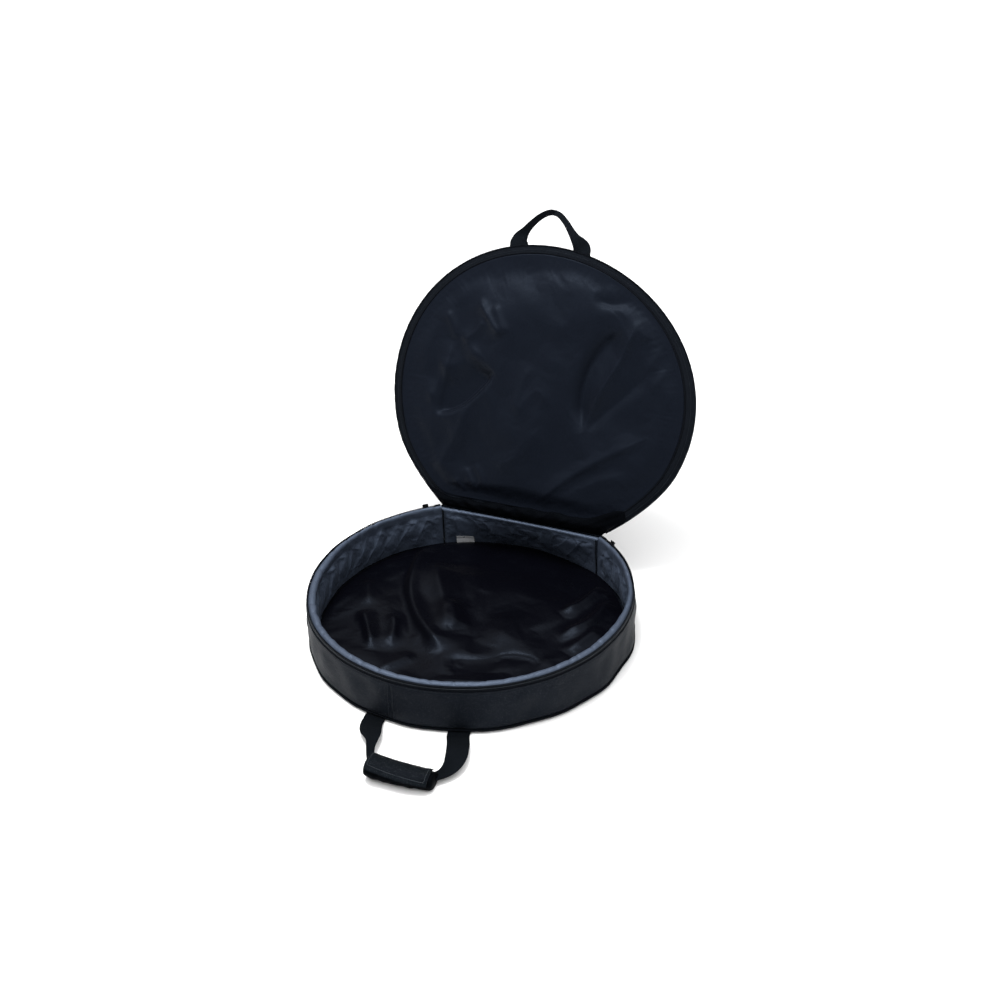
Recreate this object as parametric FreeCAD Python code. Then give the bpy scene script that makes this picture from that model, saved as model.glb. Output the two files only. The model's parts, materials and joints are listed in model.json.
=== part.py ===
import FreeCAD, Part
import math
import os

# A round padded carrying bag for a handpan, shown unzipped and empty, in millimetres.
# The origin is the centre of the flat bottom on the surface it stands on. +Z is up, the
# fabric hinge of the lid is at +Y, and the carry handle lies on the surface toward -Y.
# Angles round the bag are measured from -Y toward +X.

# ---- driving dimensions ----
RIM_RADIUS = 300.0            # outside of the tub wall
TUB_HEIGHT = 95.0             # surface to the line where the two halves of the zip meet
HINGE_Y = 245.0               # straight fold line between tub and lid
LID_OPEN_DEG = 114.4          # how far the lid stands open from shut

SKIN = 1.2                    # coated polyester outer fabric
LINING = 1.0                  # lining cloth of the wall
SATIN = 0.6                   # lining cloth of the lid
FLOOR_SATIN = 0.8             # lining cloth of the floor
FLOOR_PAD = 6.7               # foam in the floor
LID_PAD = 8.0                 # foam in the lid
PLY_GAP = 0.1                 # between plies that are sewn together
WALL_SEAM_DEG = -3.0          # where the two lengths of wall fabric are joined

PIPING_RADIUS = 2.0
PIPING_CENTRE = (299.3, 5.3)  # radius and height of the cord in the bottom edge

ROLL_CENTRE = (291.7, 84.0)   # radius and height of the padded roll at the rim
ROLL_FOAM_RADIUS = 5.0
TAPE_THICK = 0.8
TAPE_FOOT_Z = 75.0            # sewn edge of the tub's zip tape
SKIN_TOP_Z = 83.0             # turned edge of the wall fabric over the tape
COIL_RADIUS = 1.2
COIL_RING = 298.4             # radius at which both zip coils run
TUB_COIL_Z = 93.1
LID_COIL_Z = 96.9
ZIP_END_DEG = 142.4           # end of the tub's coil on either side of the hinge
LID_ZIP_END_DEG = 143.5
LID_RADIUS = 285.4            # padded disc of the lid, inside the zip tape
LID_INNER_Z = 96.5            # lining face of the lid when it is shut
LID_CHORD_Y = 232.0           # straight sewn edge of the lid next to the hinge
STRIP_LIP_Y = 216.0           # where the lid's lining meets the black hinge strip

WEBBING = 38.0                # width of the carrying straps
WEBBING_THICK = 2.4
HANDLE_TURN_DEG = 4.8         # the handle is sewn a little round from opposite the hinge
HANDLE_STRAP_X = 75.0         # half the distance between the handle's two straps
HANDLE_PITCH_DEG = 4.2        # rise of the lying handle from its sewn line to its grip
HANDLE_AXIS = (-301.2, 2.1)   # y and z of the sewn line the handle folds on
GRIP_REACH = 126.0            # sewn line to the middle of the grip
GRIP_CENTRE_X = 23.0
GRIP_LENGTH = 118.0
GRIP_SLOT = 20.0              # how far in from the grip's ends the turning strap leaves its sleeve
GRIP_PLIES = ((17.0, 9.2), (18.4, 10.6), (19.4, 11.6), (20.4, 12.6), (21.6, 13.8))
FLAP_SPAN_DEG = (-70.0, 95.0) # part of the grip's round that the closing flap covers

LOOP_STRAP_X = 61.5
LOOP_Z = 99.6                 # underside of the lid's pull loop when the lid is shut
LOOP_AXIS_Y = -301.2

SLIDER_DEG = 138.6            # where the sliders stand when the bag is open
PULL_PIN = (303.4, 94.6)      # radius and height of the pin the pull tab hangs on
PIN_RADIUS = 0.70
PIN_HOLE_RADIUS = 0.76

HINGE_HALF_DEG = math.degrees(math.acos(HINGE_Y / RIM_RADIUS))
WALL_END_DEG = 180.0 - HINGE_HALF_DEG
V = FreeCAD.Vector
UP = V(0, 0, 1)
FAR = 1000.0

nodes = {}


# ---- helpers ----
def turned(shape, degrees, base=V(0, 0, 0), axis=UP):
    """A copy of the shape turned about an axis."""
    copy = shape.copy()
    copy.rotate(base, axis, degrees)
    return copy


def wire(*points):
    """Closed wire in the plane X = 0 at the front of the bag. A point is (radius, height), and a
    point written ("arc", middle, end) runs to its end in an arc."""
    def at(p):
        return V(0, -p[0], p[1])

    edges, last = [], points[0]
    for p in points[1:] + (points[0],):
        if p[0] == "arc":
            edges.append(Part.Arc(at(last), at(p[1]), at(p[2])).toShape())
            last = p[2]
        else:
            edges.append(Part.makeLine(at(last), at(p)))
            last = p
    return Part.Wire(edges)


def ring(profile, start=-WALL_END_DEG + 0.1, end=WALL_END_DEG - 0.1):
    """The profile swept round the bag's centre line from one angle to another."""
    face = turned(Part.Face(profile), start)
    return face.revolve(V(0, 0, 0), UP, end - start)


def rod_ring(radius, centre_r, centre_z, start, end):
    """A round cord bent to a ring about the bag's centre line."""
    circle = Part.Wire(Part.makeCircle(radius, V(0, -centre_r, centre_z), V(1, 0, 0)))
    return ring(circle, start, end)


def disc(radius, z, thick, y_max=FAR):
    """A flat round ply, cut straight on the hinge side."""
    ply = Part.makeCylinder(radius, thick, V(0, 0, z))
    if y_max < radius:
        ply = ply.common(Part.makeBox(2 * FAR, FAR + y_max, 2 * FAR, V(-FAR, -FAR, -FAR)))
    return ply


def block(x0, x1, y0, y1, z0, z1):
    """A box from its limits."""
    return Part.makeBox(x1 - x0, y1 - y0, z1 - z0, V(x0, y0, z0))


def flat(outline, z, thick):
    """A ply cut to an outline, which is a list of runs of points. A run of two points is a
    straight line and a longer run is a smooth curve."""
    edges = []
    for run in outline:
        points = [V(x, y, z) for x, y in run]
        if len(points) == 2:
            edges.append(Part.makeLine(*points))
        else:
            curve = Part.BSplineCurve()
            curve.interpolate(points)
            edges.append(curve.toShape())
    return Part.Face(Part.Wire(edges)).extrude(V(0, 0, thick))


def hinge_ply(outer, inner, z0, z1, x0=-FAR, x1=FAR):
    """A ply of the panel below the hinge. It is an arc at the bottom and straight at the fold, and
    it lies between two depths measured inward from the panel's outer face."""
    def corners(depth, z, straight):
        half = math.radians(HINGE_HALF_DEG - 0.1)
        if straight:
            y = HINGE_Y - depth
            x = y * math.tan(half)
            return V(-x, y, z), V(0, y, z), V(x, y, z)
        r = RIM_RADIUS - depth
        x, y = r * math.sin(half), r * math.cos(half)
        return V(-x, y, z), V(0, r, z), V(x, y, z)

    wires = []
    for z, straight in ((0.0, False), (TUB_HEIGHT, True)):
        a, am, b = corners(outer, z, straight)
        d, dm, c = corners(inner, z, straight)
        if straight:
            long_edges = [Part.makeLine(a, b), Part.makeLine(c, d)]
        else:
            long_edges = [Part.Arc(a, am, b).toShape(), Part.Arc(c, dm, d).toShape()]
        wires.append(Part.Wire([long_edges[0], Part.makeLine(b, c), long_edges[1], Part.makeLine(d, a)]))
    full = Part.makeLoft(wires, True, True)
    return full.common(block(x0, x1, 0, FAR, z0, z1))


def mirrored(shape):
    """The same piece on the other side of the bag."""
    return shape.mirror(V(0, 0, 0), V(1, 0, 0))


# ---- tub ----
def build_tub():
    """The padded floor and wall, the panel below the hinge, and the tub's half of the zip."""
    floor_top = SKIN + PLY_GAP + FLOOR_PAD
    lining_r = ROLL_CENTRE[0] - ROLL_FOAM_RADIUS - PLY_GAP - LINING
    nodes["base_bottom_panel"] = disc(RIM_RADIUS - 1.0, 0.0, SKIN)
    nodes["base_bottom_foam"] = disc(lining_r - 1.1, SKIN + PLY_GAP, FLOOR_PAD)
    nodes["base_floor_lining"] = disc(lining_r - 0.7, floor_top + PLY_GAP, FLOOR_SATIN)
    nodes["bottom_piping"] = rod_ring(PIPING_RADIUS, *PIPING_CENTRE, 0.0, 360.0)

    skin_foot = PIPING_CENTRE[1] + PIPING_RADIUS + 0.2
    skin = wire(
        (RIM_RADIUS - SKIN, skin_foot),
        (RIM_RADIUS, skin_foot),
        (RIM_RADIUS, SKIN_TOP_Z),
        (RIM_RADIUS - SKIN, SKIN_TOP_Z),
    )
    nodes["wall_panel_left"] = ring(skin, -WALL_END_DEG + 0.1, WALL_SEAM_DEG - 0.05)
    nodes["wall_panel_right"] = ring(skin, WALL_SEAM_DEG + 0.05, WALL_END_DEG - 0.1)

    cr, cz = ROLL_CENTRE
    fr = ROLL_FOAM_RADIUS
    pad_foot = skin_foot + 0.5
    pad = wire(
        (cr - fr, pad_foot),
        (RIM_RADIUS - SKIN - PLY_GAP, pad_foot),
        (RIM_RADIUS - SKIN - PLY_GAP, TAPE_FOOT_Z - 1.0),
        (cr + fr, TAPE_FOOT_Z - 1.0),
        (cr + fr, cz),
        ("arc", (cr, cz + fr), (cr - fr, cz)),
    )
    nodes["wall_foam_left"] = ring(pad, -WALL_END_DEG + 0.1, WALL_SEAM_DEG - 0.05)
    nodes["wall_foam_right"] = ring(pad, WALL_SEAM_DEG + 0.05, WALL_END_DEG - 0.1)
    li = fr + PLY_GAP
    lo = li + LINING
    nodes["wall_lining"] = ring(wire(
        (cr - lo, floor_top + 1.2),
        (cr - li, floor_top + 1.2),
        (cr - li, cz),
        ("arc", (cr, cz + li), (cr + li, cz)),
        (cr + li, TAPE_FOOT_Z),
        (cr + lo, TAPE_FOOT_Z),
        (cr + lo, cz),
        ("arc", (cr, cz + lo), (cr - lo, cz)),
    ))

    tape_in = cr + lo + PLY_GAP
    nodes["zip_tape_base"] = ring(wire(
        (tape_in, TAPE_FOOT_Z),
        (tape_in + TAPE_THICK, TAPE_FOOT_Z),
        (tape_in + TAPE_THICK, TUB_COIL_Z - COIL_RADIUS - PLY_GAP),
        (tape_in, TUB_COIL_Z - COIL_RADIUS - PLY_GAP),
    ), -ZIP_END_DEG, ZIP_END_DEG)
    nodes["zip_coil_base"] = rod_ring(COIL_RADIUS, COIL_RING, TUB_COIL_Z, -ZIP_END_DEG, ZIP_END_DEG)
    tab = wire((297.9, 84.6), (299.9, 84.6), (299.9, 94.4), (297.9, 94.4))
    nodes["zip_end_tab_right"] = ring(tab, ZIP_END_DEG + 0.05, WALL_END_DEG - 0.2)
    nodes["zip_end_tab_left"] = mirrored(nodes["zip_end_tab_right"])

    pad_top = TUB_HEIGHT - 3.9
    pad_in = RIM_RADIUS - (cr - fr)
    nodes["hinge_panel_outer"] = hinge_ply(0.0, SKIN, skin_foot, TUB_HEIGHT - 2.0)
    above_floor = floor_top + 1.2
    nodes["hinge_panel_foam"] = hinge_ply(SKIN + PLY_GAP, pad_in, above_floor, pad_top)
    face = hinge_ply(pad_in + PLY_GAP, pad_in + PLY_GAP + LINING, above_floor, pad_top + 1.1)
    cap = hinge_ply(SKIN + PLY_GAP, pad_in + PLY_GAP + LINING, pad_top + 0.1, pad_top + 1.1)
    nodes["hinge_panel_lining"] = face.fuse(cap).removeSplitter()
    nodes["hinge_strip_base"] = hinge_ply(-1.3, -PLY_GAP, TUB_HEIGHT - 22.0, TUB_HEIGHT - 1.2)
    label_depth = pad_in + PLY_GAP + LINING
    nodes["sewn_label"] = hinge_ply(
        label_depth + 0.05, label_depth + 0.65, floor_top + 2.0, floor_top + 22.0, -147.0, -108.0
    )


# ---- handle at the bottom edge ----
def handle_frame(shape):
    """From the flat layout of the handle to where it lies: raised at the grip and turned round."""
    base = V(0, *HANDLE_AXIS)
    return turned(turned(shape, -HANDLE_PITCH_DEG, base, V(1, 0, 0)), HANDLE_TURN_DEG)


def grip_ply(outer, inner=None, start=None, end=None):
    """A sleeve round the strap, between two ellipses, or the whole oval. Given two angles it is
    cut to the part between them, measured from straight up and away from the bag."""
    x0 = GRIP_CENTRE_X - GRIP_LENGTH / 2
    axis_y = HANDLE_AXIS[0] - GRIP_REACH
    axis_z = HANDLE_AXIS[1]

    def solid(a, b):
        oval = Part.Ellipse(V(x0, axis_y + a, axis_z), V(x0, axis_y, axis_z + b), V(x0, axis_y, axis_z))
        return Part.Face(Part.Wire(oval.toShape())).extrude(V(GRIP_LENGTH, 0, 0))

    sleeve = solid(*outer)
    if inner is not None:
        sleeve = sleeve.cut(solid(*inner))
    if start is None:
        return sleeve
    points = [V(x0 - 1, axis_y, axis_z)]
    steps = 8
    for i in range(steps + 1):
        t = math.radians(start + (end - start) * i / steps)
        points.append(V(x0 - 1, axis_y - 60 * math.sin(t), axis_z + 60 * math.cos(t)))
    wedge = Part.Face(Part.makePolygon(points + [points[0]])).extrude(V(GRIP_LENGTH + 2, 0, 0))
    return sleeve.common(wedge)


def build_handle():
    """The strap sewn under the front edge, and the padded grip that a hook-and-loop flap closes."""
    for side, name in ((-1, "left"), (1, "right")):
        x = side * HANDLE_STRAP_X
        tail = block(x - WEBBING / 2, x + WEBBING / 2, HANDLE_AXIS[0] + 0.8, -250.0, 1.3, 2.9)
        tail = tail.cut(Part.makeCylinder(RIM_RADIUS - 15.0, 10.0))
        nodes["handle_tail_" + name] = turned(tail, HANDLE_TURN_DEG)

    y0 = HANDLE_AXIS[0]
    outer = [(-94, 1.8), (-88, 30), (-76, 60), (-61, 88), (-55, 110), (-49, 128), (-36, 139)]
    outer_end = [(80, 139), (100, 132), (113, 112), (116, 84), (110, 50), (94, 1.8)]
    inner = [(56, 1.8), (70, 40), (80, 70), (84, 90), (80, 106), (68, 113)]
    inner_end = [(-22, 113), (-27, 104), (-30, 84), (-40, 60), (-52, 30), (-56, 1.8)]
    runs = [outer, [outer[-1], outer_end[0]], outer_end, [outer_end[-1], inner[0]],
            inner, [inner[-1], inner_end[0]], inner_end, [inner_end[-1], outer[0]]]
    outline = [[(x, y0 - d) for x, d in run] for run in runs]
    strap = flat(outline, HANDLE_AXIS[1] - WEBBING_THICK / 2, WEBBING_THICK)
    nodes["handle_webbing"] = handle_frame(strap)

    pad, wrap, loop_side, hook_side, flap = GRIP_PLIES
    core = block(GRIP_CENTRE_X - GRIP_LENGTH, GRIP_CENTRE_X + GRIP_LENGTH,
                 y0 - GRIP_REACH - 13.4, y0 - GRIP_REACH + 13.4,
                 HANDLE_AXIS[1] - 1.6, HANDLE_AXIS[1] + 1.6)
    slots = [block(x - GRIP_SLOT, x + GRIP_SLOT, y0 - GRIP_REACH + 5.0, y0 - GRIP_REACH + 25.0,
                   HANDLE_AXIS[1] - 1.6, HANDLE_AXIS[1] + 1.6)
             for x in (GRIP_CENTRE_X - GRIP_LENGTH / 2, GRIP_CENTRE_X + GRIP_LENGTH / 2)]
    start, end = FLAP_SPAN_DEG
    gap = 0.15
    nodes["grip_pad"] = handle_frame(grip_ply(pad).cut(core).cut(slots))
    nodes["grip_wrap"] = handle_frame(grip_ply(wrap, (pad[0] + gap, pad[1] + gap)).cut(slots))
    nodes["grip_loop_strip"] = handle_frame(
        grip_ply((loop_side[0] - gap, loop_side[1] - gap), (wrap[0] + gap, wrap[1] + gap), 30.0, end - 5)
    )
    nodes["grip_hook_strip"] = handle_frame(
        grip_ply((hook_side[0] - gap, hook_side[1] - gap), (loop_side[0] + gap, loop_side[1] + gap), 30.0, end - 5)
    )
    nodes["grip_flap"] = handle_frame(grip_ply(flap, hook_side, start, end))


# ---- lid, laid out shut ----
def build_lid():
    """The padded lid with its half of the zip and the strap loop that pulls it open."""
    lid = {}
    z = LID_INNER_Z
    pad_z = z + SATIN + PLY_GAP
    top_z = pad_z + LID_PAD + PLY_GAP
    tape_z = LID_COIL_Z + COIL_RADIUS + 0.2
    inside = LID_RADIUS - SKIN
    shell = disc(LID_RADIUS, tape_z + TAPE_THICK + PLY_GAP, top_z + SKIN - tape_z - TAPE_THICK - PLY_GAP, LID_CHORD_Y)
    lid["lid_outer_panel"] = shell.cut(disc(inside, z, top_z - z, LID_CHORD_Y - SKIN))
    lid["lid_foam"] = disc(inside - 0.2, pad_z, LID_PAD, LID_CHORD_Y - SKIN - 0.2)
    lid["lid_lining"] = disc(inside - 0.2, z, SATIN, STRIP_LIP_Y - 0.2)
    bind = wire((inside, z - 0.2), (inside + 3.2, z - 0.2), (inside + 3.2, tape_z - PLY_GAP), (inside, tape_z - PLY_GAP))
    lid["lid_binding"] = ring(bind, -LID_ZIP_END_DEG, LID_ZIP_END_DEG)
    tape = wire((inside, tape_z), (COIL_RING + 1.0, tape_z), (COIL_RING + 1.0, tape_z + TAPE_THICK), (inside, tape_z + TAPE_THICK))
    lid["zip_tape_lid"] = ring(tape, -LID_ZIP_END_DEG, LID_ZIP_END_DEG)
    lid["zip_coil_lid"] = rod_ring(COIL_RADIUS, COIL_RING, LID_COIL_Z, -LID_ZIP_END_DEG, LID_ZIP_END_DEG)

    strip_z = z - 0.6
    wide = ring(wire((1.0, strip_z), (RIM_RADIUS - 2.0, strip_z), (RIM_RADIUS - 2.0, strip_z + 1.2), (1.0, strip_z + 1.2)),
                LID_ZIP_END_DEG + 0.3, 360.0 - LID_ZIP_END_DEG - 0.3)
    strip = disc(inside - 0.2, strip_z, 1.2).fuse(wide).removeSplitter()
    strip = strip.common(block(-FAR, FAR, STRIP_LIP_Y, HINGE_Y - 3.5, 0, FAR))
    lid["hinge_strip_lid"] = strip

    for side, name in ((-1, "left"), (1, "right")):
        x = side * LOOP_STRAP_X
        tail = block(x - WEBBING / 2, x + WEBBING / 2, LOOP_AXIS_Y + 0.8, -250.0, LOOP_Z, LOOP_Z + 1.6)
        lid["lid_loop_tail_" + name] = tail.cut(Part.makeCylinder(LID_RADIUS + 0.3, 200.0))
    outer = [(80.5, 1.8), (70, 11), (57, 24), (34, 46), (0, 57), (-34, 46), (-57, 24), (-70, 11), (-80.5, 1.8)]
    inner = [(-42.5, 1.8), (-44, 9), (-37, 24), (-22, 37), (0, 42), (22, 37), (37, 24), (44, 9), (42.5, 1.8)]
    runs = [outer, [outer[-1], inner[0]], inner, [inner[-1], outer[0]]]
    outline = [[(x, LOOP_AXIS_Y - d) for x, d in run] for run in runs]
    lid["lid_loop"] = flat(outline, LOOP_Z - 0.4, WEBBING_THICK)

    hinge = V(0, HINGE_Y, TUB_HEIGHT)
    for name, shape in lid.items():
        nodes[name] = turned(shape, -LID_OPEN_DEG, hinge, V(1, 0, 0))


# ---- sliders ----
def build_sliders():
    """Two zip sliders with pull tabs. Each has a plate on either side of the coils, joined by a
    post that runs in the space between them."""
    def plate(r0, r1, z0, z1, half):
        """A plate across the coils, with its corners rounded."""
        body = block(-half, half, -r1, -r0, z0, z1)
        corners = [e for e in body.Edges if abs(e.tangentAt(e.FirstParameter).y) > 0.9]
        return body.makeFillet(1.8, corners)

    pin_r, pin_z = PULL_PIN
    outer = plate(300.2, 301.4, 90.4, 98.9, 6.0)
    inner = plate(295.6, 296.6, 91.2, 97.8, 5.0)
    post = block(-1.5, 1.5, -300.4, -296.4, TUB_HEIGHT - 0.35, TUB_HEIGHT + 0.35)
    slider = outer.fuse([inner, post])
    for side in (-1, 1):
        ear = block(side * 2.7 - 0.5, side * 2.7 + 0.5, -pin_r - 1.5, -301.2, pin_z - 1.6, pin_z + 1.6)
        slider = slider.fuse(ear)
    pin = Part.makeCylinder(PIN_RADIUS, 6.0, V(-3.0, -pin_r, pin_z), V(1, 0, 0))
    slider = slider.fuse(pin).removeSplitter()

    barrel = Part.makeCylinder(1.6, 3.6, V(-1.8, -pin_r, pin_z), V(1, 0, 0))
    neck = block(-1.8, 1.8, -pin_r - 0.7, -pin_r + 0.7, pin_z - 6.0, pin_z - 0.9)
    tab = block(-3.6, 3.6, -pin_r - 0.7, -pin_r + 0.7, pin_z - 29.0, pin_z - 5.0)
    corners = [e for e in tab.Edges if abs(e.tangentAt(e.FirstParameter).y) > 0.9]
    tab = tab.makeFillet(2.2, corners)
    pull = barrel.fuse([neck, tab])
    pull = pull.cut(Part.makeCylinder(PIN_HOLE_RADIUS, 12.0, V(-6.0, -pin_r, pin_z), V(1, 0, 0)))
    pull = pull.cut(Part.makeCylinder(1.4, 6.0, V(0, -pin_r - 3.0, pin_z - 25.0), V(0, 1, 0)))
    nodes["slider_right"] = turned(slider, SLIDER_DEG)
    nodes["pull_tab_right"] = turned(pull.removeSplitter(), SLIDER_DEG)
    nodes["slider_left"] = mirrored(nodes["slider_right"])
    nodes["pull_tab_left"] = mirrored(nodes["pull_tab_right"])


build_tub()
build_handle()
build_lid()
build_sliders()

os.makedirs("parts", exist_ok=True)
for name, shape in nodes.items():
    solids = shape.Solids
    if len(solids) != 1 or not shape.isValid():
        raise RuntimeError("%s has %d solids, valid %s" % (name, len(solids), shape.isValid()))
    solids[0].exportStep("parts/%s.step" % name)
    box = solids[0].BoundBox
    print("%-20s x %7.1f %7.1f  y %7.1f %7.1f  z %6.1f %6.1f" % (
        name, box.XMin, box.XMax, box.YMin, box.YMax, box.ZMin, box.ZMax))
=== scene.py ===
import json
import math

import bpy
import numpy as np
from mathutils import Matrix, Vector


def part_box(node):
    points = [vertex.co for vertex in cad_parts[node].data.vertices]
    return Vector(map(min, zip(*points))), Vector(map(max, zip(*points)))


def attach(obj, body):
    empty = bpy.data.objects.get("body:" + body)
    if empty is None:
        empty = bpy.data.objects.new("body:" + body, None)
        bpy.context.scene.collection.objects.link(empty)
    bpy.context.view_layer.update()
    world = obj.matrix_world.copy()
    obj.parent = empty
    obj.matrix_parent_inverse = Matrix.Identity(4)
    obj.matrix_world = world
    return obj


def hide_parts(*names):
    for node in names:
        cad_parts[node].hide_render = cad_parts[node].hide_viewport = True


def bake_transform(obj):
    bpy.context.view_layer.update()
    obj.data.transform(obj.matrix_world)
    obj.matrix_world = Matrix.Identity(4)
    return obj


# Looks of a round padded carrying bag, open and empty. Lengths are millimetres until a mesh is
# made. Angles round the bag, phi, are degrees from -Y toward +X, as in the design.

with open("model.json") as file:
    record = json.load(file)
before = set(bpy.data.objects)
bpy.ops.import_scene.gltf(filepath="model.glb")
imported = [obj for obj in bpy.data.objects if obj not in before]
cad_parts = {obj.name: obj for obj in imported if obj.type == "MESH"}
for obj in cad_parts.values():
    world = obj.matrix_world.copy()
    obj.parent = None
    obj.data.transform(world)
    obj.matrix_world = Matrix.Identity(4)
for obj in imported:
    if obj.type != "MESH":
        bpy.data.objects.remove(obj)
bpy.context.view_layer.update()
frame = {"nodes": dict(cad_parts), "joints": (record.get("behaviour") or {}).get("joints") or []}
MM = 0.001
JOINTS = {j["name"]: j for j in frame["joints"]}


def box_mm(node):
    """Lowest and highest corner of a designed piece, in millimetres."""
    low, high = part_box(node)
    return np.array(low) / MM, np.array(high) / MM


# ---- sizes from the frame ----
HINGE_Y, HINGE_Z = (v / MM for v in JOINTS["lid_hinge"]["pos_m"][1:])
LID_OPEN = math.radians(-JOINTS["lid_hinge"]["range_deg"][0])
RIM = box_mm("wall_panel_right")[1][0]
SKIN_FOOT, SKIN_TOP = (box_mm("wall_panel_right")[i][2] for i in (0, 1))
LINING_FOOT, LINING_TOP = (box_mm("wall_lining")[i][2] for i in (0, 1))
FLOOR_R = box_mm("base_floor_lining")[1][0]
FLOOR_Z = box_mm("base_floor_lining")[1][2]
BOTTOM_THICK = box_mm("base_bottom_panel")[1][2]
PIPE_LOW, PIPE_HIGH = box_mm("bottom_piping")
PIPE_RADIUS = (PIPE_HIGH[2] - PIPE_LOW[2]) / 2
PIPE_R, PIPE_Z = PIPE_HIGH[0] - PIPE_RADIUS, (PIPE_HIGH[2] + PIPE_LOW[2]) / 2
COIL_LOW, COIL_HIGH = box_mm("zip_coil_base")
COIL_RADIUS = (COIL_HIGH[2] - COIL_LOW[2]) / 2
COIL_R, COIL_Z = COIL_HIGH[0] - COIL_RADIUS, (COIL_HIGH[2] + COIL_LOW[2]) / 2
TAPE_FOOT, TAPE_TOP = (box_mm("zip_tape_base")[i][2] for i in (0, 1))
LID_R = box_mm("lid_outer_panel")[1][0]
LID_TAPE_R = box_mm("zip_tape_lid")[1][0]
WALL_END = 180.0 - math.degrees(math.acos(HINGE_Y / RIM))
ZIP_END = WALL_END - 2.3
ROLL_WIDE, ROLL_HIGH = 7.2, 7.0
ROLL_R, ROLL_Z = RIM - 10.4, LINING_TOP - 1.9
WALL_IN = ROLL_R - ROLL_WIDE
HANDLE_POS = np.array(JOINTS["handle_swing"]["pos_m"]) / MM
HANDLE_AXIS = np.array(JOINTS["handle_swing"]["axis"])

# ---- how the soft bag differs from the stiff design ----
FLARE = 3.4          # the foot of the wall stands out this much
BELLY = 1.0          # and its middle
LID_WIDEN = 1.052    # the lid is pulled wider than it is long
LID_SHORTEN = 0.975
TAPE_CURL = 0.16     # rise of the lid's zip tape per millimetre outward

# ---- cloth, seams and mesh steps ----
SKIN_THICK, TAPE_THICK, SATIN_THICK = 1.2, 0.8, 0.6
PHI_STEP = 0.42                       # degrees between the rows of a mesh that runs round the bag
TOP_STITCH_Z, FOOT_STITCH_Z = 80.4, 10.6
CREASE_Z = 76.5                       # where the lining dips below the roll
HELIX = 0.85, 1.5, 0.42               # radius, pitch and wire of a zip's coil
PANEL_HALF = 172.0                    # half the width of the panel below the hinge
DEGREE = 5.0                          # length of the lining per degree, where its folds are laid out
SEAM_PHI = -3.0                       # seam between the two lengths of wall fabric


# ---- arithmetic ----
def smooth(x, low, high):
    """0 below low, 1 above high, with a smooth step between."""
    t = np.clip((x - low) / (high - low), 0.0, 1.0)
    return t * t * (3.0 - 2.0 * t)


def waves(seed, length, count=9, spread=0.45, squeeze=(1.0, 1.0)):
    """Smooth noise over two coordinates, with ripples of about the given length."""
    draw = np.random.RandomState(seed)
    k = 2 * np.pi / (length * (1 + spread * draw.uniform(-1, 1, count)))
    turn, phase = draw.uniform(0, 2 * np.pi, count), draw.uniform(0, 2 * np.pi, count)

    def value(x, y):
        total = 0.0
        for ki, ti, pi in zip(k, turn, phase):
            total = total + np.sin(ki * (np.cos(ti) * x * squeeze[0] + np.sin(ti) * y * squeeze[1]) + pi)
        return total / math.sqrt(count / 2.0)

    return value


def unit(rows):
    """Rows of vectors, each made one long."""
    return rows / np.linalg.norm(rows, axis=1)[:, None]


def lengths(path):
    """Distance along a path at each of its points."""
    return np.concatenate([[0], np.cumsum(np.linalg.norm(np.diff(path, axis=0), axis=1))])


def between(at, s, rows):
    """Rows of numbers known at the distances s, read at other distances."""
    return np.stack([np.interp(at, s, rows[:, k]) for k in range(rows.shape[1])], 1)


def curve(points, count):
    """A smooth line through the points, evenly spaced."""
    p = np.array(points, float)
    p = np.vstack([2 * p[0] - p[1], p, 2 * p[-1] - p[-2]])
    out = []
    for i in range(1, len(p) - 2):
        t = np.linspace(0, 1, 24, endpoint=False)[:, None]
        a, b, c, d = p[i - 1], p[i], p[i + 1], p[i + 2]
        out.append(0.5 * (2 * b + (c - a) * t + (2 * a - 5 * b + 4 * c - d) * t ** 2
                          + (3 * b - a - 3 * c + d) * t ** 3))
    line = np.vstack(out + [p[-2:-1]])
    s = lengths(line)
    return between(np.linspace(0, s[-1], count), s, line)


def fold(X, Y, points, height, left, right, crest=1.5, ends=0.22):
    """Height of a fold whose crest follows a line. It falls away over its own width on the left and
    on the right of the line, and fades toward the ends."""
    line = curve(points, 26)
    best = np.full(X.shape, 1e9)
    side, along = np.zeros(X.shape), np.zeros(X.shape)
    for i in range(len(line) - 1):
        a, d = line[i], line[i + 1] - line[i]
        t = np.clip(((X - a[0]) * d[0] + (Y - a[1]) * d[1]) / (d @ d), 0, 1)
        ex, ey = X - a[0] - t * d[0], Y - a[1] - t * d[1]
        distance = np.hypot(ex, ey)
        near = distance < best
        best = np.where(near, distance, best)
        side = np.where(near, d[0] * ey - d[1] * ex, side)
        along = np.where(near, (i + t) / (len(line) - 1), along)
    width = np.where(side > 0, left, right)
    fade = smooth(along, -0.02, ends) * (1 - smooth(along, 1 - ends, 1.02))
    return height * fade * np.exp(-(best / width) ** crest)


def runs(*parts):
    """Several evenly spaced runs of numbers in a row, each given by its start, end and count."""
    return np.concatenate([np.linspace(*part) for part in parts])


def grid(rows, cols):
    """Two arrays with the value of each row and of each column of a grid."""
    return np.meshgrid(rows, cols, indexing="ij")


def around(phi, r):
    """X and Y at an angle round the bag."""
    t = np.radians(phi)
    return r * np.sin(t), -r * np.cos(t)


def polar(phi, r, z):
    """Point at an angle round the bag."""
    return np.stack(np.broadcast_arrays(*around(phi, r), z), -1)


def disc_grid(n):
    """A square grid rounded to the unit disc: the angle and share of the radius of each point."""
    a = np.linspace(-1, 1, n)
    A, B = grid(a, a)
    x, y = A * np.sqrt(1 - B * B / 2), B * np.sqrt(1 - A * A / 2)
    return np.degrees(np.arctan2(x, -y)), np.hypot(x, y)


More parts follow.
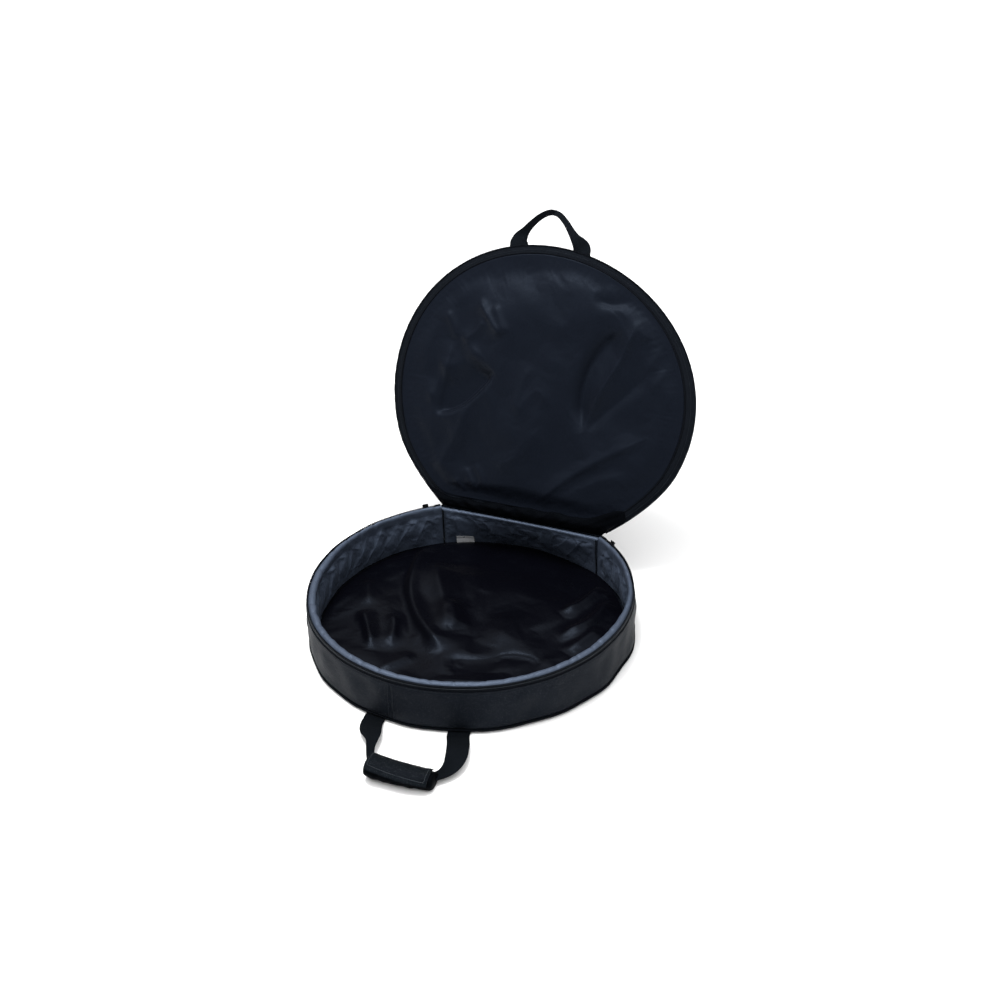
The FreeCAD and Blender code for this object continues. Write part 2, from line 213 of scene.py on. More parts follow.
# ---- meshes ----
def new_object(name, points, faces, uv=None, sharp=60.0):
    """A smooth mesh object from points in millimetres and faces. UVs are in millimetres."""
    mesh = bpy.data.meshes.new(name)
    mesh.from_pydata((np.asarray(points, float) * MM).tolist(), [], faces)
    layer = mesh.uv_layers.new(name="cloth")
    if uv is not None:
        layer.data.foreach_set("uv", np.asarray(uv, np.float32).ravel())
    mesh.polygons.foreach_set("use_smooth", np.ones(len(mesh.polygons), bool))
    mesh.set_sharp_from_angle(angle=math.radians(sharp))
    mesh.update()
    obj = bpy.data.objects.new(name, mesh)
    bpy.context.scene.collection.objects.link(obj)
    return obj


def metric(P, axis, closed):
    """Distance along one axis of a grid of points, averaged over the other."""
    Q = np.concatenate([P, P[:1] if axis == 0 else P[:, :1]], axis) if closed else P
    steps = np.linalg.norm(np.diff(Q, axis=axis), axis=2).mean(axis=1 - axis)
    return np.concatenate([[0], np.cumsum(steps)])


def grid_faces(rows, cols, loop0, loop1):
    """Quads of a grid and the row and column that each starts from."""
    I, J = grid(np.arange(rows if loop0 else rows - 1), np.arange(cols if loop1 else cols - 1))
    I, J = I.ravel(), J.ravel()
    I2, J2 = (I + 1) % rows, (J + 1) % cols
    quads = np.stack([I * cols + J, I * cols + J2, I2 * cols + J2, I2 * cols + J], 1)
    return quads, I, J


def grid_uv(U, W, I, J):
    """UVs of the quads' corners from a distance per column and per row."""
    return np.stack([np.stack([U[J], W[I]], 1), np.stack([U[J + 1], W[I]], 1),
                     np.stack([U[J + 1], W[I + 1]], 1), np.stack([U[J], W[I + 1]], 1)], 1)


def sweep(name, P, loop=False, sharp=60.0):
    """A closed solid from sections P[i, j], closed round j. Its ends are capped unless it loops."""
    rows, cols = P.shape[:2]
    quads, I, J = grid_faces(rows, cols, loop, True)
    U, W = metric(P, 1, True), metric(P, 0, loop)
    uv = grid_uv(U, W, I, J).reshape(-1, 2)
    faces = quads.tolist()
    if not loop:
        first, last = list(range(cols))[::-1], [(rows - 1) * cols + j for j in range(cols)]
        faces += [first, last]
        for row, order in ((0, first), (rows - 1, last)):
            ends = P[row, [j % cols for j in order]]
            flat_uv = (ends - ends.mean(0)) @ np.array([[1, 0], [0.3, 0.5], [0, 1]])
            uv = np.vstack([uv, flat_uv])
    obj = new_object(name, P.reshape(-1, 3), faces, uv, sharp)
    face_outward(obj)
    return obj


def ply(name, front, back, sharp=60.0):
    """A thin solid between two grids of points, one on each of its faces."""
    return sweep(name, np.concatenate([front, back[:, ::-1]], 1), sharp=sharp)


def face_outward(obj):
    """Turns the faces of a closed mesh so that they all face out."""
    mesh = obj.data
    mesh.calc_loop_triangles()
    co = np.zeros(len(mesh.vertices) * 3)
    mesh.vertices.foreach_get("co", co)
    tri = np.zeros(len(mesh.loop_triangles) * 3, np.int32)
    mesh.loop_triangles.foreach_get("vertices", tri)
    a, b, c = (co.reshape(-1, 3)[tri.reshape(-1, 3)[:, k]] for k in range(3))
    if np.einsum("ij,ij->i", a, np.cross(b, c)).sum() < 0:
        mesh.flip_normals()


def sheet_mesh(name, P, uv, thick, toward, held, cap, grow):
    """A thin sheet of cloth from a grid of points, thickened away from the side that shows."""
    rows, cols = P.shape[:2]
    quads, I, J = grid_faces(rows, cols, False, False)
    corner = [uv[I, J], uv[I, J + 1], uv[I + 1, J + 1], uv[I + 1, J]]
    obj = new_object(name, P.reshape(-1, 3), quads.tolist(), np.stack(corner, 1).reshape(-1, 2))
    middle = P[rows // 2, cols // 2]
    n = np.cross(P[rows // 2 + 1, cols // 2] - middle, P[rows // 2, cols // 2 + 1] - middle)
    if n @ np.array(toward, float) > 0:
        obj.data.flip_normals()
    relax(obj, held, cap, grow)
    solid = obj.modifiers.new("thickness", "SOLIDIFY")
    solid.thickness = thick * MM
    solid.offset = -1.0
    return obj


def pad_mesh(name, top, bottom):
    """A closed pad from two grids whose borders are joined by a strip of faces."""
    n = top.shape[0]
    quads = grid_faces(n, n, False, False)[0]
    border = ([(i, 0) for i in range(n - 1)] + [(n - 1, j) for j in range(n - 1)]
              + [(i, n - 1) for i in range(n - 1, 0, -1)] + [(0, j) for j in range(n - 1, 0, -1)])
    ids = np.array([i * n + j for i, j in border])
    nxt = np.roll(ids, -1)
    rim = np.stack([ids, nxt, nxt + n * n, ids + n * n], 1)
    faces = np.vstack([quads, quads[:, ::-1] + n * n, rim])
    points = np.vstack([top.reshape(-1, 3), bottom.reshape(-1, 3)])
    u = np.stack([points[:, 0], np.linalg.norm(points[:, 1:] - points[0, 1:], axis=1)], 1)
    obj = new_object(name, points, faces.tolist(), u[faces].reshape(-1, 2))
    face_outward(obj)
    return obj


def frames(path, loop=False, up=(0, 0, 1)):
    """Side and normal along a path, the normal kept near the given direction."""
    if loop:
        tangent = np.roll(path, -1, 0) - np.roll(path, 1, 0)
    else:
        tangent = np.gradient(path, axis=0)
    tangent = unit(tangent)
    side = unit(np.cross(tangent, np.broadcast_to(np.array(up, float), path.shape)))
    return side, np.cross(side, tangent)


def tube(name, path, radius, sides=10, loop=False, up=(0, 0, 1)):
    """A round cord along a path, with one radius or one for each point."""
    side, normal = frames(path, loop, up)
    a = np.linspace(0, 2 * np.pi, sides, endpoint=False)
    r = np.broadcast_to(np.array(radius, float), len(path))[:, None, None]
    ring = np.cos(a)[None, :, None] * side[:, None] + np.sin(a)[None, :, None] * normal[:, None]
    return sweep(name, path[:, None] + r * ring, loop)


def coil(name, path, up, radius, pitch, wire):
    """The helix of a zip, wound round a path."""
    s = lengths(path)
    turns = int(s[-1] / pitch)
    steps = 9
    at = np.linspace(0, s[-1], turns * steps + 1)
    centre = between(at, s, path)
    side, normal = frames(centre, up=up)
    a = 2 * np.pi * at / pitch
    line = centre + radius * (np.cos(a)[:, None] * side * 1.25 + np.sin(a)[:, None] * normal)
    return tube(name, line, wire, 5, up=np.cross(side, normal) + 0.01)


def webbing(name, path, across, width, thick):
    """Webbing along a path. across is the way its width lies at each point, and its width and thickness
    change along it, as where it is folded over."""
    tangent = unit(np.gradient(path, axis=0))
    across = unit(across - np.einsum("ij,ij->i", across, tangent)[:, None] * tangent)
    normal = np.cross(tangent, across)
    flat = np.linspace(-1, 1, 17)
    arc = np.radians(np.array([60, 30, 0, -30, -60]))
    edge = 0.9
    rows = []
    for k in range(len(path)):
        half, t = width[k] / 2, thick[k] / 2
        top = np.stack([flat * (half - edge), t * (1 - 0.12 * np.cos(np.pi * flat) ** 2)], 1)
        right = np.stack([half - edge + edge * np.cos(arc), t * np.sin(arc)], 1)
        ring = np.vstack([top, right, top[::-1] * [1, -1], -right])
        rows.append(path[k] + ring[:, :1] * across[k] + ring[:, 1:] * normal[k])
    return sweep(name, np.array(rows))


def stitches(name, path, up, pitch=3.4, length=2.5, radius=0.28, lift=0.1):
    """A row of sewn stitches along a path that lies on the cloth."""
    s = lengths(path)
    count = max(2, int(round(s[-1] / pitch)))
    at = (np.arange(count) + 0.5) * s[-1] / count
    centre = between(at, s, path)
    if np.ndim(up) == 2:
        up = between(at, s, up)
    ahead, behind = (between(np.clip(at + step, 0, s[-1]), s, path) for step in (0.6, -0.6))
    tangent = unit(ahead - behind)
    side = unit(np.cross(tangent, np.broadcast_to(np.array(up, float), tangent.shape)))
    normal = np.cross(side, tangent)
    along = np.array([-0.5, -0.4, -0.15, 0.15, 0.4, 0.5]) * length
    rise = np.array([-1.3, 0.1, 0.75, 0.75, 0.1, -1.3]) * radius + lift
    fat = np.array([0.45, 0.85, 1, 1, 0.85, 0.45]) * radius
    a = np.linspace(0, 2 * np.pi, 6, endpoint=False)
    ring = np.stack([np.repeat(along, 6), np.outer(fat, np.cos(a)).ravel(),
                     np.outer(fat, np.sin(a)).ravel() + np.repeat(rise, 6)], 1)
    points = (centre[:, None] + ring[None, :, :1] * tangent[:, None]
              + ring[None, :, 1:2] * side[:, None] + ring[None, :, 2:] * normal[:, None])
    one = grid_faces(6, 6, False, True)[0]
    caps = [[5, 4, 3, 2, 1, 0], [30, 31, 32, 33, 34, 35]]
    faces = (one[None] + 36 * np.arange(count)[:, None, None]).reshape(-1, 4).tolist()
    faces += [[v + 36 * k for v in cap] for k in range(count) for cap in caps]
    obj = new_object(name, points.reshape(-1, 3), faces)
    face_outward(obj)
    return obj


def joined(name, objects):
    """Several meshes as one object, such as the rows of stitches of one piece."""
    with bpy.context.temp_override(active_object=objects[0], selected_editable_objects=objects):
        bpy.ops.object.join()
    objects[0].name = name
    objects[0].data.name = name
    return objects[0]


def dress(obj, material, slot, body, *nodes):
    """Gives a piece its material, the body it rides on and what it stands for. slot is not used."""
    obj.data.materials.clear()
    obj.data.materials.append(material)
    if body:
        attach(obj, body)
    if nodes:
        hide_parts(*nodes)
    return obj


def relax(obj, held, cap, grow, pressure=0.0):
    """Cloth simulation: the cloth is cut a little large or blown up, and finds its own folds. held
    is 1 where the piece is sewn down, and no point moves further than the cap, in millimetres."""
    mesh = obj.data
    count = len(mesh.vertices)
    before = np.zeros(count * 3)
    mesh.vertices.foreach_get("co", before)
    held = np.clip(np.asarray(held, float).ravel(), 0, 1)
    pins = obj.vertex_groups.new(name="sewn")
    for level in np.linspace(0.1, 1.0, 10):
        ids = np.nonzero(np.round(held, 1) == round(level, 1))[0]
        pins.add(ids.tolist(), level, "REPLACE")
    soft = obj.modifiers.new("soft", "CLOTH")
    settings = soft.settings
    settings.quality, settings.mass, settings.air_damping = 5, 0.12, 2.0
    settings.tension_stiffness = settings.compression_stiffness = 12.0
    settings.shear_stiffness, settings.bending_stiffness = 4.0, 0.05
    settings.vertex_group_mass = "sewn"
    settings.shrink_min = -grow
    settings.effector_weights.gravity = 0.0
    if pressure:
        settings.use_pressure = True
        settings.uniform_pressure_force = pressure
    steps = 11
    soft.point_cache.frame_end = steps
    scene = bpy.context.scene
    for step in range(1, steps + 1):
        scene.frame_set(step)
    ready = obj.evaluated_get(bpy.context.evaluated_depsgraph_get())
    after = np.zeros(count * 3)
    ready.data.vertices.foreach_get("co", after)
    move = (after - before).reshape(-1, 3) / MM
    far = np.linalg.norm(move, axis=1)[:, None]
    move *= (1 - held[:, None]) * cap * np.tanh(far / cap) / np.maximum(far, 1e-9)
    obj.modifiers.remove(soft)
    obj.vertex_groups.remove(pins)
    scene.frame_set(1)
    mesh.vertices.foreach_set("co", before + move.ravel() * MM)
    mesh.update()


def soften(H, passes):
    """Height over a grid with its sharp steps rubbed down."""
    for _ in range(passes):
        Q = np.pad(H, 1, mode="edge")
        H = 0.5 * H + 0.125 * (Q[2:, 1:-1] + Q[:-2, 1:-1] + Q[1:-1, 2:] + Q[1:-1, :-2])
    return H


# ---- materials ----
class Graph:
    """A short way to write a material's nodes."""

    def __init__(self, name):
        self.material = bpy.data.materials.new(name)
        self.material.use_nodes = True
        self.nodes = self.material.node_tree.nodes
        self.links = self.material.node_tree.links
        self.nodes.clear()
        self.shader = self.add("ShaderNodeBsdfPrincipled")
        out = self.add("ShaderNodeOutputMaterial")
        self.links.new(self.shader.outputs[0], out.inputs["Surface"])

    def add(self, kind, inputs=(), **settings):
        node = self.nodes.new(kind)
        for key, value in settings.items():
            setattr(node, key, value)
        for key, value in dict(inputs).items():
            if isinstance(value, bpy.types.NodeSocket):
                self.links.new(value, node.inputs[key])
            else:
                node.inputs[key].default_value = value
        return node

    def math(self, operation, a, b=0.0):
        return self.add("ShaderNodeMath", {0: a, 1: b}, operation=operation).outputs[0]

    def plus(self, a, b):
        return self.math("ADD", a, b)

    def times(self, a, b):
        return self.math("MULTIPLY", a, b)

    def stretched(self, place, scale):
        return self.add("ShaderNodeMapping", {"Vector": place, "Scale": scale}).outputs[0]

    def noise(self, where, scale, detail=2.0, rough=0.5):
        node = self.add("ShaderNodeTexNoise", {"Vector": where, "Scale": scale, "Detail": detail,
                                               "Roughness": rough})
        return node.outputs["Fac"]

    def sine(self, value, length, phase=0.0):
        scaled = self.math("MULTIPLY_ADD", value, 2 * math.pi / length)
        scaled.node.inputs[2].default_value = phase
        return self.math("SINE", scaled)


def pattern(g, kind, u, v, pitch):
    """Height of a weave from -1 to 1 over the cloth's own coordinates."""
    if kind == "plain":
        return g.times(g.sine(u, 2 * pitch), g.sine(v, 2 * pitch))
    if kind == "twill":
        return g.sine(g.plus(u, v), 1.4 * pitch)
    if kind == "satin":
        float_run = g.times(g.sine(g.plus(u, g.times(v, 0.2)), pitch), g.sine(v, 5 * pitch))
        return g.plus(g.times(float_run, 0.4), g.times(g.sine(u, pitch), 0.6))
    if kind == "rib":
        rib = g.sine(v, pitch)
        return g.plus(g.times(rib, 0.7), g.times(g.times(g.sine(u, 1.3 * pitch), rib), 0.3))
    if kind == "chevron":
        zigzag = g.math("ABSOLUTE", g.math("SUBTRACT", g.math("MODULO", u, 4 * pitch), 2 * pitch))
        return g.sine(g.plus(v, zigzag), pitch)
    return g.sine(u, pitch)


COOL = (0.80, 1.0, 1.35, 1.0)


def cloth(name, colour, rough, kind="plain", pitch=0.6, weave=0.06, crumple=0.25, crumple_size=18.0,
          mottle=0.12, sheen=0.005, spec=0.06, weave_shade=0.12, lint=0.0, tint=COOL):
    """A woven cloth: its weave, a crumple of soft creases, uneven dye, a little lint, and painted shade
    that darkens the hollows of the weave.
    """
    g = Graph(name)
    uv = g.add("ShaderNodeUVMap", uv_map="cloth").outputs[0]
    split = g.add("ShaderNodeSeparateXYZ", {0: uv})
    u, v = split.outputs[0], split.outputs[1]
    place = g.add("ShaderNodeTexCoord").outputs["Object"]
    height = pattern(g, kind, u, v, pitch)
    thread = g.noise(g.stretched(uv, (2.2 / pitch, 0.12, 1.0)), 1.0, 1.0)
    cloud = g.noise(place, 9.0, 3.0, 0.6)
    fine = g.noise(place, 420.0, 2.0, 0.6)
    tone = g.plus(g.times(cloud, mottle * 1.6), g.times(thread, mottle * 0.8))
    # painted shade at thread scale: raised threads are painted lighter and the weave's hollows darker
    tone = g.plus(tone, g.times(height, weave_shade * 0.5))
    tone = g.plus(tone, 1.0 - mottle * 1.2)
    scale = g.add("ShaderNodeVectorMath", {0: tuple(colour), "Scale": tone}, operation="SCALE")
    base = scale.outputs[0]
    if lint:
        speck = g.times(g.math("GREATER_THAN", g.noise(place, 900.0, 0.0), 0.715), lint)
        base = mixed(g, speck, base, (0.10, 0.11, 0.12, 1))
    creased = g.noise(place, 1000.0 / crumple_size, 3.0, 0.55)
    relief = {}
    for strength, deep, field in ((1.0, 2.0 * crumple, creased), (0.8, 0.25 * weave, fine),
                                  (1.0, weave, height)):
        relief.update({"Strength": strength, "Distance": deep * MM, "Height": field})
        relief["Normal"] = g.add("ShaderNodeBump", relief).outputs[0]
    uneven = g.plus(g.times(cloud, 0.12), rough - 0.06)
    sh = g.shader
    g.links.new(base, sh.inputs["Base Color"])
    g.links.new(uneven, sh.inputs["Roughness"])
    g.links.new(relief["Normal"], sh.inputs["Normal"])
    for key, value in (("Specular IOR Level", spec), ("Sheen Weight", sheen), ("Sheen Roughness", 0.45),
                       ("Specular Tint", tint)):
        sh.inputs[key].default_value = value
    return g.material


def mixed(g, factor, a, b):
    """Two colours mixed."""
    node = g.nodes.new("ShaderNodeMix")
    node.data_type = "RGBA"
    for index, value in ((0, factor), (6, a), (7, b)):
        if isinstance(value, bpy.types.NodeSocket):
            g.links.new(value, node.inputs[index])
        else:
            node.inputs[index].default_value = value
    return node.outputs[2]


def metal(name, colour, rough):
    """Satin black metal, rubbed lighter in scattered patches and finely scratched."""
    g = Graph(name)
    place = g.add("ShaderNodeTexCoord").outputs["Object"]
    scratch = g.noise(g.stretched(place, (1, 1, 9)), 700.0, 3.0)
    patch = g.noise(place, 160.0, 3.0)
    worn = g.math("GREATER_THAN", g.plus(patch, g.times(scratch, 0.2)), 0.72)
    base = mixed(g, worn, (*colour, 1), (0.10, 0.10, 0.10, 1))
    bump = g.add("ShaderNodeBump", {"Strength": 0.4, "Distance": 0.00004, "Height": scratch})
    g.links.new(base, g.shader.inputs["Base Color"])
    g.links.new(g.plus(g.times(patch, 0.2), rough), g.shader.inputs["Roughness"])
    g.links.new(bump.outputs[0], g.shader.inputs["Normal"])
    g.shader.inputs["Metallic"].default_value = 0.85
    return g.material


# name, colour, roughness, weave: kind, pitch and depth, crumple: depth and size, uneven dye
OUTER = cloth("outer_fabric", (0.0028, 0.0038, 0.0059), 0.55, "plain", 0.55, 0.05, 0.5, 30, 0.16,
              lint=0.2)
SLATE = cloth("slate_lining", (0.033, 0.0425, 0.063), 0.45, "plain", 0.32, 0.03, 0.6, 16, 0.10, spec=0.35)
SATIN = cloth("satin_lining", (0.0040, 0.0053, 0.0088), 0.42, "satin", 0.30, 0.02, 0.35, 26, 0.08,
              spec=0.045)
# The floor's satin is the lid's satin painted several times darker: painted shade for the bottom of the
# tub.
FLOOR_SATIN_PAINTED_SHADE = cloth("floor_satin", (0.0007, 0.0007, 0.0016), 0.29, "satin", 0.30, 0.02, 0.35, 26, 0.08,
                    spec=0.06)
BINDING = cloth("binding", (0.0012, 0.0014, 0.0020), 0.62, "rib", 0.8, 0.08, 0.2, 20, 0.1, spec=0.05)
TAPE = cloth("zip_tape", (0.0022, 0.0027, 0.0038), 0.60, "chevron", 0.9, 0.07, 0.15, 20, 0.1, spec=0.06)
COIL = cloth("zip_coil", (0.0012, 0.0013, 0.0018), 0.32, "line", 0.4, 0.01, 0.0, 20, 0.05, spec=0.12)
WEBBING = cloth("webbing", (0.0013, 0.0017, 0.0022), 0.55, "rib", 1.25, 0.16, 0.15, 20, 0.14, spec=0.04)
GRIP = cloth("grip_fabric", (0.0013, 0.0019, 0.0024), 0.60, "plain", 0.6, 0.06, 0.6, 14, 0.16,
             spec=0.05, lint=0.2)
# The hinge strip's cloth is the black binding painted darker and duller still: painted shade for the
# strip, which faces down below the lid's lining.
PAINTED_SHADE_STRIP = cloth("hinge_cloth_painted_shade", (0.0005, 0.0006, 0.0009), 0.60, "rib", 0.8, 0.08, 0.5, 16, 0.1, 0.001, 0.02)
# The grip's sleeve is the grip fabric painted darker: painted shade for the underside of the grip, below
# the flap's edge.
SLEEVE_PAINTED_SHADE = cloth("grip_sleeve", (0.0006, 0.0007, 0.0009), 0.60, "plain", 0.6, 0.06, 0.6, 14, 0.16,
               0.001, 0.02)
PILE = cloth("hook_and_loop", (0.0025, 0.0027, 0.0032), 0.85, "plain", 0.9, 0.30, 0.1, 8, 0.2, spec=0.06)
FOAM = cloth("foam", (0.05, 0.05, 0.055), 0.9, "plain", 1.1, 0.1, 0.3, 9, 0.1, spec=0.1)
THREAD = cloth("thread", (0.0100, 0.0115, 0.0140), 0.50, "line", 0.35, 0.03, 0.0, 20, 0.1, spec=0.2)
# Black thread painted paler: a painted sheen, where the topstitching catches the light.
THREAD_PAINTED_SHEEN = cloth("thread_painted_sheen", (0.05, 0.055, 0.06), 0.50, "line", 0.35, 0.03, 0.0, 20, 0.1, spec=0.2)
LABEL = cloth("label", (0.55, 0.56, 0.58), 0.65, "plain", 0.25, 0.02, 0.2, 12, 0.04,
              spec=0.2, tint=(1, 1, 1, 1))
METAL = metal("slider_metal", (0.012, 0.012, 0.013), 0.35)


# ---- tub ----
slow_wall = waves(3, 150.0)
wall_crinkle = waves(5, 42.0, squeeze=(1.0, 0.45))
seam_wobble = waves(7, 60.0)


def gathers(arc, pitch, wobble):
    """Small gathers along a sewn edge, at a pitch that wanders. arc is the way along the edge."""
    return np.sin(2 * np.pi * arc / pitch + wobble * seam_wobble(arc, 0.0))


def free(phi):
    """1 round most of the tub and 0 at the ends of the wall, where the hinge holds it."""
    return 1 - smooth(np.abs(phi), 126.0, 143.0)


def tub(phi, r, z):
    """A place in the tub, with the wall's softness: it flares at the foot and waves a little."""
    up = np.clip(z / HINGE_Z, 0, 1)
    f = free(phi)
    arc = np.radians(phi) * RIM
    r = r + f * (FLARE * (1 - up) + BELLY * np.sin(np.pi * up))
    r = r + f * (0.9 - 0.65 * up ** 2) * slow_wall(arc, z)
    t = np.radians(phi)
    z = z + f * up ** 2 * (0.35 * np.sin(2.2 * t + 0.5) + 0.25 * np.sin(5.1 * t + 2.0))
    return polar(phi, r, z)


def pucker(arc, distance, pitch=8.5, size=0.35, reach=5.0):
    """Gathers that fade with the distance from a sewn edge."""
    strength = 0.6 + 0.4 * np.sin(arc / 37.0 + 1.0)
    return size * strength * gathers(arc, pitch, 0.8) * np.exp(-np.abs(distance) / reach)


def wall_skin(name, start, end, node):
    """One length of the outer fabric, from the piping up to its turned edge over the zip tape."""
    z = runs((SKIN_FOOT, 15, 8), (17.5, 73, 23), (74.5, SKIN_TOP, 12))
    phi = np.arange(start, end + 0.2, PHI_STEP)
    phi[-1] = end
    F, Z = grid(phi, z)
    arc = np.radians(F) * RIM
    face = RIM - 1.8 * (1 - smooth(Z, SKIN_FOOT, 12.5)) - 0.8 * smooth(Z, 80.6, SKIN_TOP)
    face = face - 0.45 * np.exp(-((Z - TOP_STITCH_Z) / 0.6) ** 2)
    face = face - 0.4 * np.exp(-((Z - FOOT_STITCH_Z) / 0.8) ** 2)
    face = face + 0.8 * wall_crinkle(arc, Z) * smooth(Z, 10, 30) * (1 - smooth(Z, 60, 80)) * free(F)
    face = face + 1.1 * smooth(Z, SKIN_TOP - 1.6, SKIN_TOP - 0.5)
    face = face + pucker(arc, Z - SKIN_TOP) + pucker(arc + 3, Z - SKIN_FOOT, 9.5, 0.45, 7.0)
    seam = np.minimum(np.abs(F - start), np.abs(F - end)) * np.pi / 180 * RIM
    face = face - 0.9 * np.exp(-(seam / 1.6) ** 2) + 0.35 * np.exp(-((seam - 4.5) / 2.2) ** 2)
    face = face + 0.3 * np.sin(Z / 3.1) * np.exp(-seam / 6.0)
    skin = ply(name, tub(F, face, Z), tub(F, face - SKIN_THICK, Z))
    dress(skin, OUTER, "outer_fabric", "base", node)


def on_wall(phi, z, depth):
    """Point and outward direction on the outer fabric, for stitches."""
    return tub(phi, RIM - depth, z), polar(phi, 1.0, 0.0)


wall_skin("tub_wall_skin_left", -WALL_END + 0.1, SEAM_PHI - 0.005, "wall_panel_left")
wall_skin("tub_wall_skin_right", SEAM_PHI + 0.005, WALL_END - 0.1, "wall_panel_right")


def wall_stitches():
    """Topstitching round the outside of the tub and beside its seam."""
    phi = np.linspace(-WALL_END + 0.8, WALL_END - 0.8, 900)
    rows = []
    for z, depth in ((TOP_STITCH_Z, 0.35), (FOOT_STITCH_Z, 0.75)):
        rows.append(stitches("row", *on_wall(phi, z, depth)))
    z = np.linspace(12, 79, 60)
    for side in (-1, 1):
        rows.append(stitches("row", *on_wall(np.full_like(z, SEAM_PHI + side * 0.85), z, -0.2)))
    dress(joined("tub_wall_stitches", rows), THREAD, "outer_fabric", "base")


wall_stitches()


def roll_creases(arc):
    """Gathers of the lining where it is rolled over the rim, at uneven steps round the bag."""
    draw = np.random.RandomState(21)
    total = np.zeros_like(arc)
    place = -760.0
    while place < 760.0:
        place += draw.uniform(16.0, 46.0)
        width, deep = draw.uniform(2.2, 5.0), draw.uniform(0.35, 1.25)
        total = total - deep * np.exp(-((arc - place) / width) ** 2)
        total = total + 0.4 * deep * np.exp(-((arc - place - 2.2 * width) / (1.4 * width)) ** 2)
    return total


# The folds of the lining near the hinge: degrees at the top and at the foot, and size.
BACK_FOLDS = [(-139, -131, 1.8), (-133, -122, 2.4), (-127, -114, 2.0), (-119, -108, 2.6),
              (-112, -100, 1.8), (-104, -96, 2.2), (-96, -90, 1.6), (-88, -81, 1.2),
              (-78, -74, 1.0), (139, 134, 1.6), (133, 129, 2.2), (126, 118, 1.8),
              (119, 114, 1.4), (108, 101, 1.8), (97, 92, 1.2)]


def behind(phi):
    """0 round the front of the tub and 1 near the hinge, where the rim is a plain edge without a roll."""
    return smooth(np.abs(phi), 78.0, 112.0)


def lining_folds(F, Z):
    """Diagonal folds of the grey lining on the inside of the wall. F is in degrees."""
    S = F * DEGREE
    total = 0.9 * waves(31, 70.0, squeeze=(1.0, 0.5))(S, Z)
    total = total + 0.35 * waves(32, 24.0, squeeze=(1.0, 0.35))(S, Z)
    total = total * smooth(Z, LINING_FOOT, 22) * (1 - smooth(Z, 70, 79))
    for top, foot, size in BACK_FOLDS:
        line = [(top * DEGREE, 80), ((top * 0.6 + foot * 0.4) * DEGREE, 52), (foot * DEGREE, 12)]
        left, right = (5.0, 15.0) if foot > top else (15.0, 5.0)
        total = total + fold(S, Z, line, 1.5 * size, left, right, 1.3, 0.15)
    draw = np.random.RandomState(33)
    for k in range(22):
        top = -72 + k * 7.4 + draw.uniform(-2, 2)
        slant = draw.uniform(-9, 9)
        line = [(top * DEGREE, 80), ((top + slant * 0.4) * DEGREE, 48),
                ((top + slant) * DEGREE, draw.uniform(10, 30))]
        total = total + fold(S, Z, line, draw.uniform(1.0, 2.4), 5.0, 11.0, 1.4, 0.2)
    return total


def wall_lining():
    """The padded wall with its grey lining, rolled over the rim: one closed ring of foam and cloth."""
    inner_z = runs((FLOOR_Z - 0.1, 16, 5), (18, 74, 29), (75, 80, 6))
    turn = np.radians(np.linspace(180, 0, 15))
    back_z = np.array([82.0, 78.0, 74.0, 60.0, 40.0, 20.0, 9.0])
    phi = np.arange(-WALL_END + 0.1, WALL_END + 0.1, PHI_STEP)
    phi[-1] = WALL_END - 0.1
    F, Z = grid(phi, inner_z)
    arc = np.radians(F) * RIM
    slim = 2.6 * behind(F)
    face = WALL_IN + 0.8 + 1.6 * slim - 2.6 * np.sin(np.pi * np.clip((Z - 9) / 66.0, 0, 1)) * free(F)
    face = face - lining_folds(F, Z) + 1.5 * (1 - behind(F)) * np.exp(-((Z - CREASE_Z) / 2.2) ** 2)
    face = face + pucker(arc, Z - CREASE_Z, 10.0, 0.5, 6.0) * (1 - behind(F))
    inner = tub(F, face, Z)
    Fr, T = grid(phi, turn)
    arcr = np.radians(Fr) * RIM
    lumps = roll_creases(arcr) * np.sin(T) ** 0.5 + 0.3 * wall_crinkle(arcr * 1.7, T * 20)
    lumps = lumps * np.where(T < np.pi / 2, np.sin(T), 1.0)
    thin = 2.6 * behind(Fr)
    roll = tub(Fr, ROLL_R + thin + (ROLL_WIDE - thin + lumps) * np.cos(T),
               ROLL_Z - 0.6 * behind(Fr) + (ROLL_HIGH + np.minimum(lumps, 0.2)) * np.sin(T))
    Fb, Zb = grid(phi, back_z)
    P = np.concatenate([inner, roll, tub(Fb, RIM - 2.8, Zb)], 1)
    obj = sweep("tub_wall_lining", P)
    held = np.ones(P.shape[:2])
    held[:, :len(inner_z)] = 1 - smooth(inner_z, 14, 26) * (1 - smooth(inner_z, 70, 77))
    held = np.maximum(held, smooth(np.abs(phi), WALL_END - 2.5, WALL_END - 0.6)[:, None])
    relax(obj, held, 3.5, 0.03, 1.5)
    dress(obj, SLATE, "grey_lining", "base", "wall_lining", "wall_foam_left", "wall_foam_right")


wall_lining()


